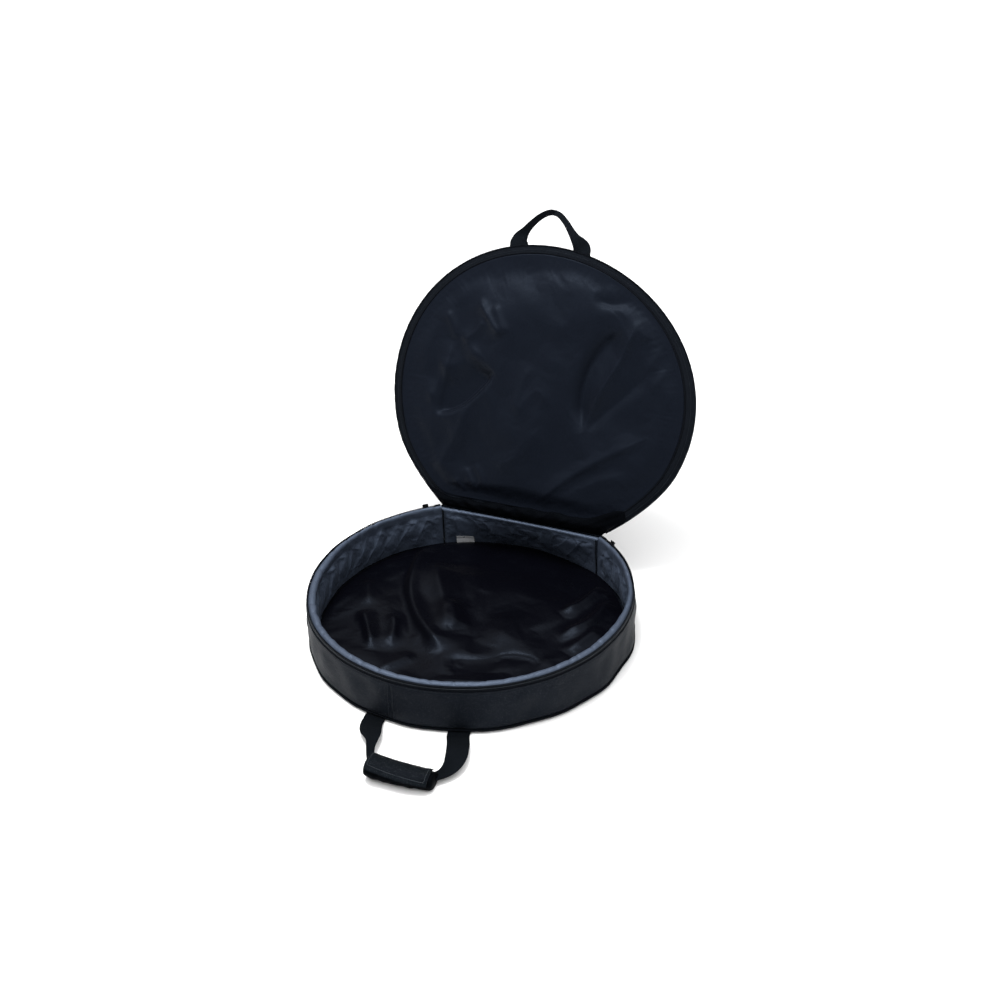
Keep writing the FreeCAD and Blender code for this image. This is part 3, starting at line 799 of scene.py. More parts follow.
def zip_band():
    """The tub's half of the zip: a woven tape standing up behind the roll, with its coil on top."""
    z = runs((TAPE_FOOT, 83, 4), (84, TAPE_TOP, 14))
    phi = np.arange(-ZIP_END, ZIP_END + 0.2, PHI_STEP)
    F, Z = grid(phi, z)
    arc = np.radians(F) * RIM
    face = RIM - 1.3 + 0.4 * np.exp(-((Z - 87.6) / 0.5) ** 2) + 0.2 * np.exp(-((Z - 90.2) / 0.4) ** 2)
    face = face + 0.12 * gathers(arc, 21.0, 1.2) * smooth(Z, 84, 91)
    tape = ply("zip_tape_tub", tub(F, face, Z), tub(F, face - TAPE_THICK, Z))
    dress(tape, TAPE, "zip_tape", "base", "zip_tape_base")
    helix = coil("zip_coil_tub", tub(phi, COIL_R, COIL_Z), (0, 0, 1), *HELIX)
    dress(helix, COIL, "zip_coil", "base", "zip_coil_base")
    sewn = stitches("zip_tape_tub_stitches", *on_wall(phi, 89.0, 1.0), 2.6, 2.1, 0.3, 0.3)
    # These stitches are painted pale: a painted sheen on black thread.
    dress(sewn, THREAD_PAINTED_SHEEN, "zip_tape", "base")


zip_band()


def end_tabs():
    """A folded scrap of binding over each end of the tub's zip."""
    for side, name in ((-1, "left"), (1, "right")):
        a = np.linspace(ZIP_END - 0.35, WALL_END - 0.25, 9)
        z = np.linspace(84.4, 94.6, 14)
        F, Z = grid(a, z)
        puff = 0.5 * np.sin(np.pi * (Z - 84.4) / 10.2) ** 0.5
        outer = polar(side * F, RIM - 0.35 + puff, Z)
        inner = polar(side * F, RIM - 2.3 - 0.3 * puff, Z)
        tab = ply("zip_end_tab_" + name + "_cloth", outer, inner)
        dress(tab, BINDING, "binding", "base", "zip_end_tab_" + name)


end_tabs()


def bottom():
    """Bottom panel, corded edge and floor padding."""
    phi = np.linspace(-180, 180, 640, endpoint=False)
    arc = np.radians(phi) * RIM
    lumps = 0.12 * waves(41, 30.0)(arc, 0.0)
    path = tub(phi, PIPE_R, PIPE_Z)
    path[:, 2] += 0.25 * waves(42, 120.0)(arc, 0.0)
    cord = tube("bottom_piping_cord", path, PIPE_RADIUS * 1.08 + lumps, 14, True)
    dress(cord, BINDING, "binding", "base", "bottom_piping")
    rim_phi, share = disc_grid(120)
    edge = tub(rim_phi, PIPE_R - 0.6, 2.0)
    sag = np.abs(waves(43, 90.0)(edge[..., 0] * share, edge[..., 1] * share))
    low = edge * share[..., None]
    low[..., 2] = 0.12 + 0.5 * sag * (1 - share ** 6) + 2.2 * smooth(share, 0.985, 1.0)
    top = low + [0, 0, BOTTOM_THICK]
    dress(pad_mesh("bottom_panel", top, low), OUTER, "outer_fabric", "base", "base_bottom_panel")
    rim_phi, share = disc_grid(60)
    flat = polar(rim_phi, (FLOOR_R - 1.5) * share, 0.0)
    round_edge = np.sqrt(np.clip(1 - (smooth(share, 0.96, 1.0)) ** 2, 0, 1))
    top, low = flat.copy(), flat.copy()
    middle = 4.6
    top[..., 2] = middle + 2.0 * round_edge
    low[..., 2] = middle - 2.7 * round_edge
    pad = pad_mesh("floor_pad", top, low)
    dress(pad, FOAM, "foam", "base", "base_bottom_foam")


bottom()

# Folds of the floor's satin: the line of the crest, its height, its width left and right, its ends.
FLOOR_FOLDS = [
    ([(-192, 205), (-172, 110), (-147, 38), (-100, -29), (-53, -76), (-7, -112)], 9.0, 42.0, 9.0, 0.12),
    ([(-140, 150), (-98, 70), (-56, 4), (-24, -62)], 9.0, 34.0, 22.0, 0.2),
    ([(-60, 40), (-30, -10), (-8, -58)], 6.0, 24.0, 20.0, 0.3),
    ([(-212, -40), (-172, -92), (-134, -146)], 7.0, 15.0, 8.0, 0.25),
    ([(-150, -30), (-124, -76), (-108, -130)], 6.5, 12.0, 14.0, 0.3),
    ([(193, 190), (172, 120), (146, 76)], 7.0, 14.0, 10.0, 0.25),
    ([(222, 156), (206, 60), (166, 8)], 7.5, 14.0, 13.0, 0.25),
    ([(236, 60), (214, 6), (196, -30)], 5.0, 14.0, 12.0, 0.3),
    ([(-80, 162), (-20, 90), (20, 0)], 4.0, 30.0, 40.0, 0.25),
    ([(-4, -122), (66, -108), (112, -72), (170, -74)], -5.0, 10.0, 22.0, 0.2),
    ([(40, 60), (66, -6), (78, -60)], 5.0, 38.0, 30.0, 0.35),
    ([(120, 150), (128, 60), (120, -10)], 3.0, 26.0, 30.0, 0.3),
    ([(-250, 60), (-222, 10), (-200, -30)], 4.0, 12.0, 16.0, 0.3),
    ([(-100, -200), (-74, -160), (-62, -120)], 4.0, 16.0, 10.0, 0.3),
    ([(0, -190), (60, -172), (126, -150)], 3.0, 10.0, 22.0, 0.3),
]


def floor_satin():
    """Satin floor lining, cut a little large, so that it lies in loose folds."""
    rim_phi, share = disc_grid(200)
    flat = polar(rim_phi, (FLOOR_R + 0.6) * share, 0.0)
    X, Y = flat[..., 0], flat[..., 1]
    Z = 1.8 * (waves(51, 190.0)(X, Y) + 1.0) + 0.25 * waves(52, 70.0)(X, Y)
    for line, height, left, right, ends in FLOOR_FOLDS:
        Z = Z + 1.9 * fold(X, Y, line, height, left, right, 1.35, ends)
    Z = soften(Z, 5)
    arc = np.radians(rim_phi) * FLOOR_R
    inward = FLOOR_R * (1 - share)
    gather = 0.7 * gathers(arc, 29.0, 1.6) * np.exp(-inward / 12.0)
    Z = (Z + gather) * (1 - smooth(share, 0.93, 1.0)) + 0.2
    P = flat.copy()
    P[..., 2] = FLOOR_Z + 0.6 + np.maximum(Z, 0.15 * Z)
    held = smooth(share, 0.93, 0.985)
    obj = sheet_mesh("floor_satin", P, flat[..., :2], SATIN_THICK, (0, 0, 1), held, 1.4, 0.004)
    # Its satin is painted darker than the lid's: painted shade.
    dress(obj, FLOOR_SATIN_PAINTED_SHADE, "satin", "base", "base_floor_lining")


floor_satin()

# ---- panel below the hinge ----
HALF_HINGE = 180.0 - WALL_END - 0.1


def hinge_panel(s, z, depth):
    """A place in the panel below the hinge: s runs from -1 to 1 across it, and depth is inward from
    its outer face. It is part of a cylinder at the floor and flat at the fold."""
    a = np.radians(s * HALF_HINGE)
    r, y = RIM - depth, HINGE_Y - depth
    arc = np.stack(np.broadcast_arrays(r * np.sin(a), r * np.cos(a), z), -1)
    line = np.stack(np.broadcast_arrays(s * y * math.tan(math.radians(HALF_HINGE)), y, z), -1)
    t = np.clip(z / HINGE_Z, 0, 1)[..., None]
    return arc * (1 - t) + line * t


# Folds of the hinge panel's lining: each runs through three places, sideways and up.
HINGE_GATHERS = [
    [(-120, 84), (-96, 66), (-88, 44)], [(-92, 86), (-70, 62), (-60, 38)],
    [(-48, 86), (-62, 64), (-66, 40)],
    [(-38, 87), (-22, 64), (-24, 44)], [(2, 86), (-16, 66), (-20, 50)], [(26, 87), (44, 60), (50, 34)],
    [(52, 87), (46, 62), (44, 40)], [(84, 87), (70, 62), (66, 44)], [(112, 85), (96, 62), (62, 36)],
    [(142, 80), (120, 52), (96, 22)], [(-150, 78), (-140, 50), (-128, 20)],
]


def hinge_parts():
    """The padded panel below the hinge: outer cloth, and the grey lining with its rolled top edge."""
    s = np.linspace(-1, 1, 190)
    z = runs((SKIN_FOOT, 15, 8), (17, HINGE_Z - 2, 34))
    S, Z = grid(s, z)
    X = S * PANEL_HALF
    swell = 0.8 * waves(61, 60.0)(X, Z) * (1 - np.abs(S) ** 8) - pucker(X, Z - SKIN_FOOT, 9.0, 0.4, 6.0)
    tuck = 1.6 * (1 - smooth(Z, SKIN_FOOT, 12.5))
    outer, inner = (hinge_panel(S, Z, tuck + depth - swell * 0.6) for depth in (-0.2, 1.0))
    dress(ply("hinge_panel_skin", outer, inner), OUTER, "outer_fabric", "base", "hinge_panel_outer")

    roll_r = 5.2
    roll_z = HINGE_Z - 3.6 - roll_r
    face_z = runs((FLOOR_Z - 0.1, 16, 5), (18, 76, 30), (77, roll_z, 7))
    turn = np.radians(np.linspace(180, 0, 15))
    back_z = np.array([80.0, 60.0, 40.0, 20.0, 9.0])
    S, Z = grid(s, face_z)
    X = S * PANEL_HALF
    folds = 0.8 * waves(63, 70.0)(X, Z)
    for k, line in enumerate(HINGE_GATHERS):
        narrow, wide = (5.0, 12.0) if k % 2 else (12.0, 5.0)
        folds = folds + fold(X, Z, line, 2.6 + 0.5 * math.sin(2.3 * k), narrow, wide, 1.25, 0.18)
    folds = folds * smooth(Z, FLOOR_Z, 20) * (1 - smooth(Z, 78, 90)) * (1 - np.abs(S) ** 10)
    depth = 13.4 + 5.0 * (1 - smooth(Z, 10, 60)) * (1 - S ** 4) + folds
    depth = depth + 1.6 * np.sin(np.pi * np.clip((Z - 9) / 66, 0, 1)) * (1 - S ** 4)
    depth = depth - 1.8 * smooth(Z, 70, roll_z) - 2.4 * np.exp(-((1 - np.abs(S)) * PANEL_HALF / 2.5) ** 2)
    front = hinge_panel(S, Z, depth)
    Sr, T = grid(s, turn)
    fat = roll_r + 0.6 * roll_creases(Sr * PANEL_HALF * 1.3 + 90) * np.sin(T) ** 0.5
    roll = hinge_panel(Sr, roll_z + fat * np.sin(T), 1.2 + roll_r - fat * np.cos(T))
    Sb, Zb = grid(s, back_z)
    P = np.concatenate([front, roll, hinge_panel(Sb, Zb, 1.4)], 1)
    obj = sweep("hinge_panel_padding", P)
    held = np.ones(P.shape[:2])
    held[:, :len(face_z)] = 1 - smooth(face_z, 14, 26) * (1 - smooth(face_z, 76, 85))
    held = np.maximum(held, smooth(np.abs(s), 0.94, 0.99)[:, None])
    relax(obj, held, 3.0, 0.03, 1.5)
    dress(obj, SLATE, "grey_lining", "base", "hinge_panel_lining", "hinge_panel_foam")

    z = np.linspace(12, 88, 50)
    rows = []
    for side in (-1, 1):
        for step in (0.972, 0.988):
            p = hinge_panel(side * step, z, 13.0)
            rows.append(stitches("row", p, (0, -1, 0), 3.0, 2.2, 0.3, 0.4))
    x = np.linspace(-0.95, 0.95, 120)
    rows.append(stitches("row", hinge_panel(x, FOOT_STITCH_Z, 0.35), (0, 1, 0)))
    dress(joined("hinge_panel_stitches", rows), THREAD, "grey_lining", "base")
    for side, name in ((-1, "left"), (1, "right")):
        z = np.linspace(10, 89.5, 60)
        path = hinge_panel(side * 0.998, z, 13.2 + 0.3 * np.sin(z / 7.0))
        cord = tube("hinge_corner_cord_" + name, path, 1.1, 8, up=(0, 1, 0))
        dress(cord, BINDING, "binding", "base")


hinge_parts()


LABEL_DEPTH = 20.2    # how far in from the panel's outer face


def label():
    """A blank woven label sewn low on the lining of the hinge panel."""
    x = np.linspace(-146.0, -109.0, 30)
    z = np.linspace(FLOOR_Z + 1.5, FLOOR_Z + 21.5, 18)
    X, Z = grid(x, z)
    curl = 1.4 * smooth(Z, FLOOR_Z + 14, FLOOR_Z + 22) + 0.5 * np.sin(X / 9.0) * smooth(Z, 14, 30)
    face = hinge_panel(X / PANEL_HALF, Z, LABEL_DEPTH + curl)
    back = hinge_panel(X / PANEL_HALF, Z, LABEL_DEPTH - 0.5 + curl)
    dress(ply("blank_label", face, back), LABEL, "label", "base", "sewn_label")
    p = hinge_panel(np.linspace(-145.0, -110.0, 30) / PANEL_HALF, FLOOR_Z + 3.5, LABEL_DEPTH + 0.2)
    dress(stitches("blank_label_stitches", p, (0, -1, 0), 2.4, 1.7, 0.22, 0.15), THREAD, "label", "base")


label()

# ---- lid ----
COS_OPEN, SIN_OPEN = math.cos(LID_OPEN), math.sin(LID_OPEN)
lid_wave = waves(71, 260.0)


def lid_x(x, far):
    """Sideways place in the lid: it is pulled wide, and leans to the left at its far edge."""
    wide = 1 + (LID_WIDEN - 1) * smooth(far, 0.0, 0.25)
    return x * wide - 22.0 * far ** 2 + 5.5 * np.sin(np.pi * far)


def lid(x, y, t):
    """A place in the lid, given as it lies when shut: x and y as in the bag, and t above the hinge
    line. The soft lid is pulled a little wide and leans sideways, and it is turned open here."""
    u = HINGE_Y - y
    far = np.clip(u / (HINGE_Y + LID_TAPE_R), 0, 1)
    x2 = lid_x(x, far)
    y2 = np.where(y < 0, y * LID_SHORTEN, y)
    r = np.hypot(x, y)
    t = t + 1.6 * lid_wave(x, y) * smooth(far, 0.05, 0.3) * (1 - 0.7 * smooth(r, 120, 280))
    t = t + TAPE_CURL * np.clip(r - LID_R - 1.5, 0, None)
    back, rise = y2 - HINGE_Y, t
    return np.stack(np.broadcast_arrays(x2, HINGE_Y + back * COS_OPEN + rise * SIN_OPEN,
                                        HINGE_Z - back * SIN_OPEN + rise * COS_OPEN), -1)


LID_IN = np.array([0.0, -SIN_OPEN, -COS_OPEN])      # the way the lining faces
LINING_T = 3.2       # level of the lining's edge above the hinge line
SATIN_DEEP = 8.2     # the satin sinks no further than this toward the lid's outer cloth
TAPE_T = 3.4         # and of the lid's zip tape


def lid_outline(phi, radius, chord):
    """Radius of the lid's outline at an angle: round, and straight at the hinge."""
    c = np.cos(np.radians(180.0 - np.abs(phi)))
    straight = chord / np.maximum(c, 0.05)
    k = 50.0
    return (radius ** -k + straight ** -k) ** (-1 / k)


def lid_seam(phi):
    """Radius of the seam between the lid's lining and its zip tape; the band is wider at the right."""
    return LID_R - 2.5 - 5.0 * (0.5 + 0.5 * np.cos(np.radians(phi - 105.0))) ** 2


# Folds of the lid's satin, sideways and away from the hinge: the line of the crest, its height, its
# width left and right, and how sharp it is.
LID_FOLDS = [
    # pocket at the left, with the folds above it
    ([(-212, 182), (-167, 203), (-138, 228), (-93, 284)], -19.0, 62.0, 6.0, 1.5),
    ([(-212, 268), (-172, 288), (-126, 322)], 6.0, 24.0, 30.0, 1.6),
    ([(-206, 176), (-160, 192), (-126, 218), (-86, 268)], 1.5, 7.0, 24.0, 1.4),
    ([(-207, 188), (-201, 257), (-190, 336)], 3.5, 12.0, 7.0, 1.4),
    ([(-215, 392), (-196, 362), (-186, 334)], 4.0, 9.0, 12.0, 1.4),
    ([(-176, 336), (-158, 344), (-140, 362), (-128, 384)], 5.5, 9.0, 12.0, 1.3),
    ([(-146, 424), (-118, 388), (-86, 352)], 7.0, 8.0, 13.0, 1.3),
    ([(-112, 418), (-92, 384), (-74, 356)], 4.5, 7.0, 16.0, 1.4),
    ([(-206, 300), (-214, 240), (-232, 200)], 3.5, 16.0, 10.0, 1.5),
    # fan of folds from the upper right
    ([(102, 190), (88, 250), (94, 312), (118, 362), (156, 400)], -15.0, 12.0, 34.0, 1.3),
    ([(102, 190), (124, 260), (156, 339), (184, 425)], 9.0, 16.0, 12.0, 1.0),
    ([(104, 188), (146, 240), (192, 292), (220, 340)], -5.5, 26.0, 10.0, 1.4),
    ([(193, 292), (226, 360), (248, 412)], 3.0, 9.0, 12.0, 1.4),
    ([(222, 288), (252, 340), (262, 372)], 2.4, 8.0, 12.0, 1.4),
    ([(84, 450), (128, 446), (170, 462)], -5.0, 20.0, 8.0, 1.3),
    ([(96, 470), (140, 476), (176, 478)], 2.6, 12.0, 12.0, 1.5),
    ([(182, 425), (196, 400), (204, 384)], 3.0, 8.0, 10.0, 1.4),
    # middle and lower part
    ([(-42, 205), (-30, 262), (-18, 305)], 2.6, 14.0, 9.0, 1.4),
    ([(-40, 197), (-16, 241), (6, 256), (34, 226)], 3.0, 11.0, 15.0, 1.3),
    ([(27, 36), (66, 76), (103, 110), (157, 150), (238, 204)], 4.6, 16.0, 8.0, 1.2),
    ([(80, 62), (140, 96), (210, 132)], 2.2, 10.0, 18.0, 1.4),
    ([(-72, 92), (-28, 120), (22, 190)], 2.4, 12.0, 16.0, 1.4),
    ([(-202, 52), (-166, 128), (-138, 212)], 3.4, 9.0, 17.0, 1.3),
    ([(-131, 86), (-112, 58), (-98, 36)], 3.6, 7.0, 11.0, 1.3),
    ([(-110, 96), (-88, 64), (-80, 40)], 2.4, 7.0, 11.0, 1.3),
    ([(-150, 60), (-136, 44), (-120, 34)], 3.0, 6.0, 9.0, 1.3),
    ([(40, 300), (20, 350), (30, 410)], 2.4, 40.0, 30.0, 1.8),
    ([(-30, 500), (0, 470), (60, 462)], 2.0, 20.0, 26.0, 1.6),
]


def satin_height(x, u):
    """How far the lid's satin stands out of its plane, over x and the distance from the hinge."""
    h = 16.0 * (1 - np.clip(np.hypot(x, u - HINGE_Y) / LID_R, 0, 1) ** 2.4)
    h = h + 1.8 * waves(81, 210.0)(x, u) + 0.3 * waves(82, 60.0)(x, u)
    for line, height, left, right, crest in LID_FOLDS:
        h = h + 1.25 * fold(x, u, line, height, left, right, crest)
    return h


def satin_depth(height):
    """Place of the satin for its height out of the plane, eased where it would reach the outer cloth."""
    ease = 1.5
    return SATIN_DEEP - ease * np.log1p(np.exp((SATIN_DEEP - LINING_T + height) / ease))


def lid_satin():
    """The lid's satin lining, sewn round its edge and slack between."""
    phi, share = disc_grid(210)
    r = lid_outline(phi, lid_seam(phi) - 0.6, HINGE_Y - 22.0) * share
    X, Y = around(phi, r)
    x_seen = lid_x(X, (HINGE_Y - Y) / (HINGE_Y + LID_TAPE_R))
    H = satin_height(x_seen, HINGE_Y - Y)
    arc = np.radians(phi) * LID_R
    inward = lid_outline(phi, lid_seam(phi), HINGE_Y - 22.0) - r
    gather = 0.8 * gathers(arc, 15.0, 1.5) * np.exp(-inward / 14.0)
    H = (soften(H, 2) + gather) * smooth(inward, 2.0, 44.0)
    P = lid(X, Y, satin_depth(H))
    held = smooth(share, 0.95, 0.99)
    obj = sheet_mesh("lid_satin", P, np.stack([X, Y], -1), SATIN_THICK, LID_IN, held, 1.1, 0.003)
    dress(obj, SATIN, "satin", "lid", "lid_lining")


def lid_cover():
    """The padded lid behind the lining, with its outer cloth drawn over it."""
    phi, share = disc_grid(150)
    edge = lid_outline(phi, LID_R + 0.6, HINGE_Y - 12.0)
    r = edge * share
    X, Y = around(phi, r)
    inward = edge - r
    arc = np.radians(phi) * LID_R
    dome = np.sqrt(np.clip(1 - (1 - np.clip(inward / 13.0, 0, 1)) ** 2, 0, 1))
    soft = 1.1 * waves(91, 120.0)(X, Y) + 0.45 * waves(92, 40.0)(X, Y)
    for line in ([(-160, 120), (-60, 60), (70, 90)], [(120, -40), (150, 60), (110, 150)],
                 [(-40, -190), (30, -120), (20, -20)], [(-220, -60), (-150, -90), (-90, -180)],
                 [(60, 200), (0, 160), (-90, 180)], [(200, -120), (150, -170), (60, -210)]):
        soft = soft + fold(X, Y, line, 2.2, 14.0, 26.0, 1.4)
    soft = soft + 0.7 * gathers(arc, 13.0, 1.3) * np.exp(-inward / 9.0)
    outer = 5.0 + (7.2 + soft) * dome + 1.2 * smooth(inward, 0, 200)
    low_cap = satin_height(lid_x(X, (HINGE_Y - Y) / (HINGE_Y + LID_TAPE_R)), HINGE_Y - Y)
    inner = np.maximum(LINING_T + 1.5, satin_depth(low_cap) + 1.6)
    obj = pad_mesh("lid_padded_cover", lid(X, Y, outer), lid(X, Y, np.minimum(inner, outer - 0.8)))
    held = np.concatenate([1 - smooth(inward, 4, 16), np.ones_like(inward)])
    relax(obj, held, 3.5, 0.012, 1.0)
    dress(obj, OUTER, "outer_fabric", "lid", "lid_outer_panel", "lid_foam")


lid_cover()
lid_satin()


def lid_ring(phi, r, t):
    """Place on a ring round the lid."""
    return lid(*around(phi, r), t)


def lid_edges():
    """Binding, zip tape and coil round the lid, and the corded seam of its outer cloth."""
    phi = np.arange(-ZIP_END - 1.1, ZIP_END + 1.3, PHI_STEP)
    arc = np.radians(phi) * LID_R
    path = lid_ring(phi, lid_seam(phi) + 1.2, LINING_T + 0.5 + 0.12 * waves(95, 40.0)(arc, 0.0))
    dress(tube("lid_binding_cord", path, 1.75, 12, up=LID_IN), BINDING, "binding", "lid", "lid_binding")
    path = lid_ring(phi, LID_R + 0.4, 7.2 + 0.15 * waves(96, 50.0)(arc, 0.0))
    dress(tube("lid_outer_piping", path, 1.9, 12, up=LID_IN), BINDING, "binding", "lid")

    F, share = grid(phi, np.linspace(0, 1, 18))
    Rr = (lid_seam(F) + 1.0) * (1 - share) + LID_TAPE_R * share
    A = np.radians(F) * LID_R
    t = TAPE_T + 0.45 * gathers(A, 26.0, 1.4) * smooth(Rr, LID_R + 2, LID_TAPE_R)
    t = t - 0.35 * np.exp(-((Rr - LID_R - 7.0) / 0.5) ** 2)
    X, Y = around(F, Rr)
    tape = ply("zip_tape_lid_cloth", lid(X, Y, t), lid(X, Y, t + TAPE_THICK))
    dress(tape, TAPE, "zip_tape", "lid", "zip_tape_lid")
    path = lid_ring(phi, COIL_R, TAPE_T - 1.1 + 0.45 * gathers(arc, 26.0, 1.4))
    helix = coil("zip_coil_lid_wire", path, LID_IN, *HELIX)
    dress(helix, COIL, "zip_coil", "lid", "zip_coil_lid")

    rows = []
    for t, faces in ((TAPE_T - 0.1, LID_IN), (TAPE_T + 0.9, -LID_IN)):
        rows.append(stitches("row", lid_ring(phi, LID_R + 4.6, t), faces, 3.2, 2.3, 0.26, 0.2))
    dress(joined("lid_edge_stitches", rows), THREAD, "zip_tape", "lid")


lid_edges()


def hinge_strip():
    """The black strip that is the hinge. It runs from the back of the tub's panel over the fold to the
    lid, shaped as the lid stands open."""
    x = np.linspace(-1, 1, 170)
    inset = 0.985
    front, back = [], []
    for z in (74.0, 78.0, 82.0, 86.0, 89.0, 91.5, 93.5):
        front.append(hinge_panel(x * inset, z, -0.5))
        back.append(hinge_panel(x * inset, z, -1.9 + 0.25 * np.sin(x * 23 + z / 3)))
    wave = waves(101, 45.0)
    X = x * HINGE_Y * math.tan(math.radians(HALF_HINGE)) * inset
    reach = 22.0 + 16.0 * np.exp(-((X + 185.0) / 26.0) ** 2) + 30.0 * np.exp(-((X - 150.0) / 26.0) ** 2)
    reach = reach + 1.5 * wave(X, 0.0) + 2.0 * np.sin(x * 2.2 + 0.6)
    for share in (*np.linspace(0.03, 0.94, 12), 0.975, 0.995):
        U = reach * share
        wide = np.sqrt((LID_TAPE_R - 2.5 - 3.0 * smooth(U, 6, 14)) ** 2 - (HINGE_Y - U) ** 2)
        puff = 6.4 * np.sin(np.pi * share ** 0.7) ** 0.6 + 1.0 - 2.0 * smooth(U, 14, 4)
        ripple = 0.9 * np.sin(x * 31 + 1.3 * np.sin(x * 9)) + 0.8 * wave(X * 2, U)
        ripple = ripple * np.sin(np.pi * share)
        under = np.clip(satin_height(x * wide, U), 0, 8) * smooth(U, 24, 60)
        front.append(lid(x * wide, HINGE_Y - U, 0.2 - puff - ripple - under))
        behind_it = np.minimum(2.2, 1.4 - 0.35 * puff - under + 1.2 * (U < 24))
        back.append(lid(x * wide, HINGE_Y - U, behind_it))
    obj = ply("hinge_strip", np.stack(front, 1), np.stack(back, 1), sharp=75)
    # Its cloth is painted darker than the black binding: painted shade.
    dress(obj, PAINTED_SHADE_STRIP, "binding", None, "hinge_strip_base", "hinge_strip_lid")
    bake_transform(obj)


hinge_strip()


LOOP_Y = -RIM - 1.2


def lid_loop():
    """Strap loop at the far edge of the lid: flat where it is sewn and folded along its arch."""
    # sideways, inward from the edge, and width
    shut = [(-61.5, 34, 38), (-61.5, 12, 38), (-61.5, 1, 37), (-60, -8, 30), (-53, -22, 18),
            (-43, -38, 14), (-29, -54, 12.5), (-12, -64, 12), (5, -62, 12), (20, -50, 12.5),
            (32, -36, 14), (45, -20, 19), (56, -8, 30), (61.5, 1, 37), (61.5, 12, 38), (61.5, 34, 38)]
    line = curve(shut, 130)
    bulge = 3.0 * np.exp(-((line[:, 1] + 24) / 16.0) ** 2)
    path = lid(line[:, 0], LOOP_Y + line[:, 1], 5.2 - bulge * 0.4)
    across = unit(np.cross(np.gradient(path, axis=0), LID_IN))
    roll = 0.55 * smooth(-line[:, 1], 6, 30)[:, None]
    across = across + roll * LID_IN * np.sign(line[:, :1] + 4)
    thick = 1.9 + 1.9 * smooth(-line[:, 1], 4, 26)
    obj = webbing("lid_loop_strap", path, across, line[:, 2], thick)
    dress(obj, WEBBING, "webbing", None, "lid_loop", "lid_loop_tail_left", "lid_loop_tail_right")
    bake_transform(obj)


lid_loop()


# ---- carry handle ----
HANDLE_TURN = math.atan2(-HANDLE_AXIS[1], -HANDLE_AXIS[0])
PITCH = math.radians(4.2)
GRIP_D, GRIP_X, GRIP_LEN, GRIP_BEND = 127.0, 25.0, 116.0, 5.0
FLAP_POS = np.array(JOINTS["flap_open"]["pos_m"]) / MM
FLAP_D = (FLAP_POS - HANDLE_POS)[:2] @ (-HANDLE_AXIS[1], HANDLE_AXIS[0]) / math.cos(PITCH)


def handle(x, d, h):
    """A place on the handle: x across, d outward from its sewn line, h above the lying strap."""
    x, d, h = np.broadcast_arrays(x, d, h)
    y = h * math.sin(PITCH) - d * math.cos(PITCH)
    z = HANDLE_POS[2] + d * math.sin(PITCH) + h * math.cos(PITCH)
    c, s = math.cos(HANDLE_TURN), math.sin(HANDLE_TURN)
    return np.stack([HANDLE_POS[0] + x * c - y * s, HANDLE_POS[1] + x * s + y * c, z], -1)


